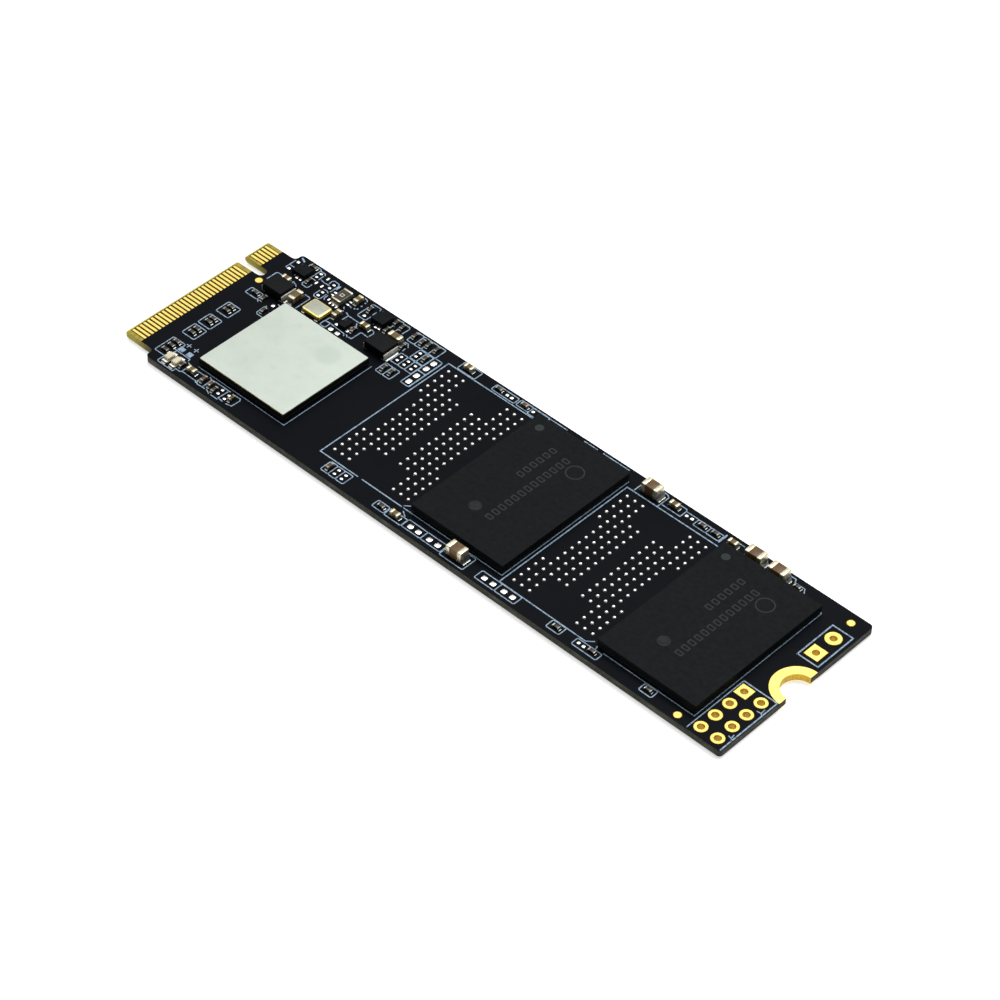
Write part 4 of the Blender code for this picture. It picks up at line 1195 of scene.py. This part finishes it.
def make_crystal():
    """A soldered ceramic boat, its dark brown partly its own colour and partly painted shade under the
    ring, a gold seal ring on it, and a plated lid with a stepped rim.
    """
    boat, solder, ring, cover = shapes(4)
    low, high = node_box("crystal_base")
    boat_top = low.z + BOAT_HEIGHT
    # the boat's dark brown is partly painted shade below the seal ring
    block(boat, low, (high.x, high.y, boat_top), 0.02)
    place("crystal_boat", boat, ["ceramic"], ["crystal_base"])
    for x in (low.x + BOAT_PAD_INSET, high.x - BOAT_PAD_INSET):
        for y, direction in ((low.y, 3), (high.y, 1)):
            fillet(solder, (x, y), BOAT_PAD_HALF, BOAT_SOLDER, BOAT_SOLDER, direction)
    place("crystal_solder", solder, ["wetted"])
    ring_low, ring_high = node_box("crystal_seal_ring")
    outline = rectangle(plan(low, high)[0], plan(ring_low, ring_high)[1], SEAL_CORNER)
    slab(ring, outline, boat_top, ring_high.z, edge=SEAL_EASE)
    place("crystal_ring", ring, ["gold"], ["crystal_seal_ring"])
    low, high = node_box("crystal_lid")
    brim = high.z - LID_STEP
    profile = [(0, low.z), (0, high.z - 0.04), (0.03, brim), (0.08, brim), (0.11, high.z)]
    loft(cover, stepped(low, high, LID_CORNER, profile), [0, 1, 1, 1, 0, 0])
    place("crystal_cover", cover, ["lid", "gold"], ["crystal_lid"])


def make_inductors():
    """Power inductors: pressed powder bodies with tin feet folded up their ends."""
    bodies, ends, solder = shapes(3)
    cores, feet = [], []
    for number in (1, 2):
        cores.append(f"inductor_{number}_core")
        block(bodies, *node_box(cores[-1]), 0.07, 3)
        for side, direction in (("left", 2), ("right", 0)):
            feet.append(f"inductor_{number}_terminal_{side}")
            low, high = node_box(feet[-1])
            outer = low.x if side == "left" else high.x
            inner = outer + (FOOT_METAL if side == "left" else -FOOT_METAL)
            block(ends, (min(outer, inner), low.y, low.z),
                  (max(outer, inner), high.y, low.z + FOOT_RISE), 0.03)
            block(ends, low, (high.x, high.y, low.z + FOOT_METAL), 0.02, 1)
            fillet(solder, (outer, (low.y + high.y) / 2), (high.y - low.y) / 2, 0.25, 0.2, direction)
    place("inductor_bodies", bodies, ["ferrite"], cores)
    place("inductor_feet", ends, ["foot"], feet)
    place("inductor_solder", solder, ["wetted"])


def make_power_chips():
    """Leadless power chips: moulded bodies with the ends of their leads along two sides."""
    bodies, leads, marks = shapes(3)
    for name, (pins, upright) in POWER_CHIPS.items():
        low, high = node_box(name)
        block(bodies, low, high, 0.035)
        dot = circle((low.x + CHIP_DOT_INSET, high.y - CHIP_DOT_INSET), CHIP_DOT, 16)
        slab(marks, dot, high.z - 0.005, high.z + MARK_RISE)
        centre = (low + high) / 2
        axis = 0 if upright else 1
        half = LEAD if upright else LEAD[::-1]
        for pin in range(pins):
            for end, side in ((low, -1), (high, 1)):
                spot = [0, 0]
                spot[axis] = centre[axis] + (pin - (pins - 1) / 2) * LEAD_PITCH
                spot[1 - axis] = end[1 - axis] + side * LEAD_REACH
                dome(leads, spot, half, 0.09, 3.0)
    place("power_chips", bodies, ["mould"], list(POWER_CHIPS))
    place("power_chip_marks", marks, ["marking"])
    place("power_chip_leads", leads, ["wetted"])


def make_fuse():
    """The resettable fuse: a dark sheet of polymer between pale metal bars."""
    low, high = node_box("resettable_fuse")
    body, cover, bars, solder = shapes(4)
    core_top, sheet_low, sheet_high, bar_low = [high.z - drop for drop in FUSE_DROPS]
    block(body, low, (high.x, high.y, core_top), 0.03)
    block(cover, (low.x + FUSE_MARGIN, low.y + FUSE_BAR, sheet_low),
          (high.x - FUSE_MARGIN, high.y - FUSE_BAR, sheet_high), 0.01, 1)
    for y_low, y_high in ((low.y, low.y + FUSE_BAR), (high.y - FUSE_BAR, high.y)):
        block(bars, (low.x, y_low, bar_low), (high.x, y_high, high.z), 0.025)
    outer, inner = [square(plan(low, high)[0], size) for size in FUSE_FRAME]
    shell(bars, outer, inner, core_top, high.z - 0.008)
    end_fillets(solder, low, high, 0.2, 0.35)
    place("fuse_body", body, ["fuse_side"], ["resettable_fuse"])
    place("fuse_cover", cover, ["fuse_top"])
    place("fuse_bars", bars, ["terminal"])
    place("fuse_solder", solder, ["wetted"])


def make_leds():
    """Status lights: cream resin over a small base, with plated ends."""
    resin, ends, solder = shapes(3)
    nodes = ["status_led_1", "status_led_2"]
    for name in nodes:
        low, high = node_box(name)
        (base_x, base_y), (lens_x, lens_y) = LED_BASE_INSET, LED_LENS_INSET
        block(resin, (low.x + base_x, low.y + base_y, low.z),
              (high.x - base_x, high.y - base_y, low.z + LED_BASE), 0.02)
        block(resin, (low.x + lens_x, low.y + lens_y, low.z + LED_LENS_START),
              (high.x - lens_x, high.y - lens_y, high.z), 0.13, 4)
        x_low, x_high, z_high = low.x + LED_END_INSET, high.x - LED_END_INSET, low.z + LED_END_RISE
        for y_low, y_high in ((low.y, low.y + LED_END), (high.y - LED_END, high.y)):
            block(ends, (x_low, y_low, low.z), (x_high, y_high, z_high), 0.05, 3)
        end_fillets(solder, Vector((x_low, *low.yz)), Vector((x_high, high.y, z_high)), 0.2, 0.8)
    place("status_led_resin", resin, ["led"], nodes)
    place("status_led_ends", ends, ["tin"])
    place("status_led_solder", solder, ["wetted"])


def finish_hidden_nodes():
    """Finishes of the CAD nodes that show as they are."""
    for name in NODES:
        for word, finish in HIDDEN_FINISHES.items():
            if word in name:
                mesh = bpy.data.objects[name].data
                mesh.materials.clear()
                mesh.materials.append(FINISHES[finish].material)


# ---- floor, light and camera ------------------------------------------------------------------
def stand(name, data):
    """A new object in the scene."""
    item = bpy.data.objects.new(name, data)
    bpy.context.scene.collection.objects.link(item)
    return item


def make_floor():
    """A sheet of pale paper just under the card, with a faint glow that softens the shadow."""
    mesh = bpy.data.meshes.new("floor")
    corners = [(x * FLOOR_HALF, y * FLOOR_HALF, 0) for x, y in ((-1, -1), (1, -1), (1, 1), (-1, 1))]
    mesh.from_pydata(corners, [], [(0, 1, 2, 3)])
    finish = Finish("floor_paper", (215, 215, 215), 0.9, specular=0.1).mottle(40.0, 2, (211, 211, 211))
    finish.surface["Emission Color"].default_value = (1.0, 1.0, 1.0, 1.0)
    finish.surface["Emission Strength"].default_value = FLOOR_GLOW
    mesh.materials.append(finish.material)
    floor = stand("floor", mesh)
    floor.location.z = -FLOOR_GAP


def aim(item, location, target, roll=0.0):
    item.location = location
    look = (Vector(target) - Vector(location)).to_track_quat("-Z", "Y")
    item.rotation_mode = "QUATERNION"
    item.rotation_quaternion = look @ Quaternion((0, 0, 1), math.radians(roll))


def make_light(name, location, size, watts):
    light = bpy.data.lights.new(name, "AREA")
    light.shape = "SQUARE"
    light.size = size
    light.energy = watts
    item = stand(name, light)
    aim(item, location, (0, 0, 0))


def make_sky():
    """A sky that is brightest above and behind the card, shown without a film curve."""
    scene = bpy.context.scene
    scene.view_settings.view_transform = "Standard"
    scene.world = bpy.data.worlds.new("studio")
    scene.world.use_nodes = True
    tree = scene.world.node_tree
    background = tree.nodes["Background"]
    background.inputs["Color"].default_value = (1.0, 1.0, 1.0, 1.0)
    direction = tree.nodes.new("ShaderNodeTexCoord")
    along = tree.nodes.new("ShaderNodeVectorMath")
    along.operation = "DOT_PRODUCT"
    along.inputs[1].default_value = SKY
    fall = tree.nodes.new("ShaderNodeMapRange")
    for socket, value in SKY_FALL.items():
        fall.inputs[socket].default_value = value
    tree.links.new(direction.outputs["Generated"], along.inputs[0])
    tree.links.new(along.outputs["Value"], fall.inputs["Value"])
    tree.links.new(fall.outputs["Result"], background.inputs["Strength"])


def make_camera():
    """The camera, at the angle of the picture that the part was modelled from."""
    camera = stand("camera", bpy.data.cameras.new("camera"))
    camera.data.lens = LENS
    camera.data.clip_start = 0.01
    aim(camera, CAMERA, CAMERA_TARGET, CAMERA_ROLL)
    bpy.context.scene.camera = camera


NODES = sorted(item.name for item in bpy.data.objects if item.type == "MESH")
make_board()
make_contacts()
make_mount_ring()
make_test_holes()
make_underside()
make_silkscreen()
make_bare_pads()
make_capacitors()
make_resistors()
make_memory(1)
make_memory(2)
make_controller()
make_crystal()
make_inductors()
make_power_chips()
make_fuse()
make_leds()
finish_hidden_nodes()
make_floor()
make_sky()
make_light("key_light", (0.02, 0.26, 0.58), 0.35, 3.0)
make_light("fill_light", (-0.28, 0.0, 0.55), 0.4, 1.1)
make_camera()
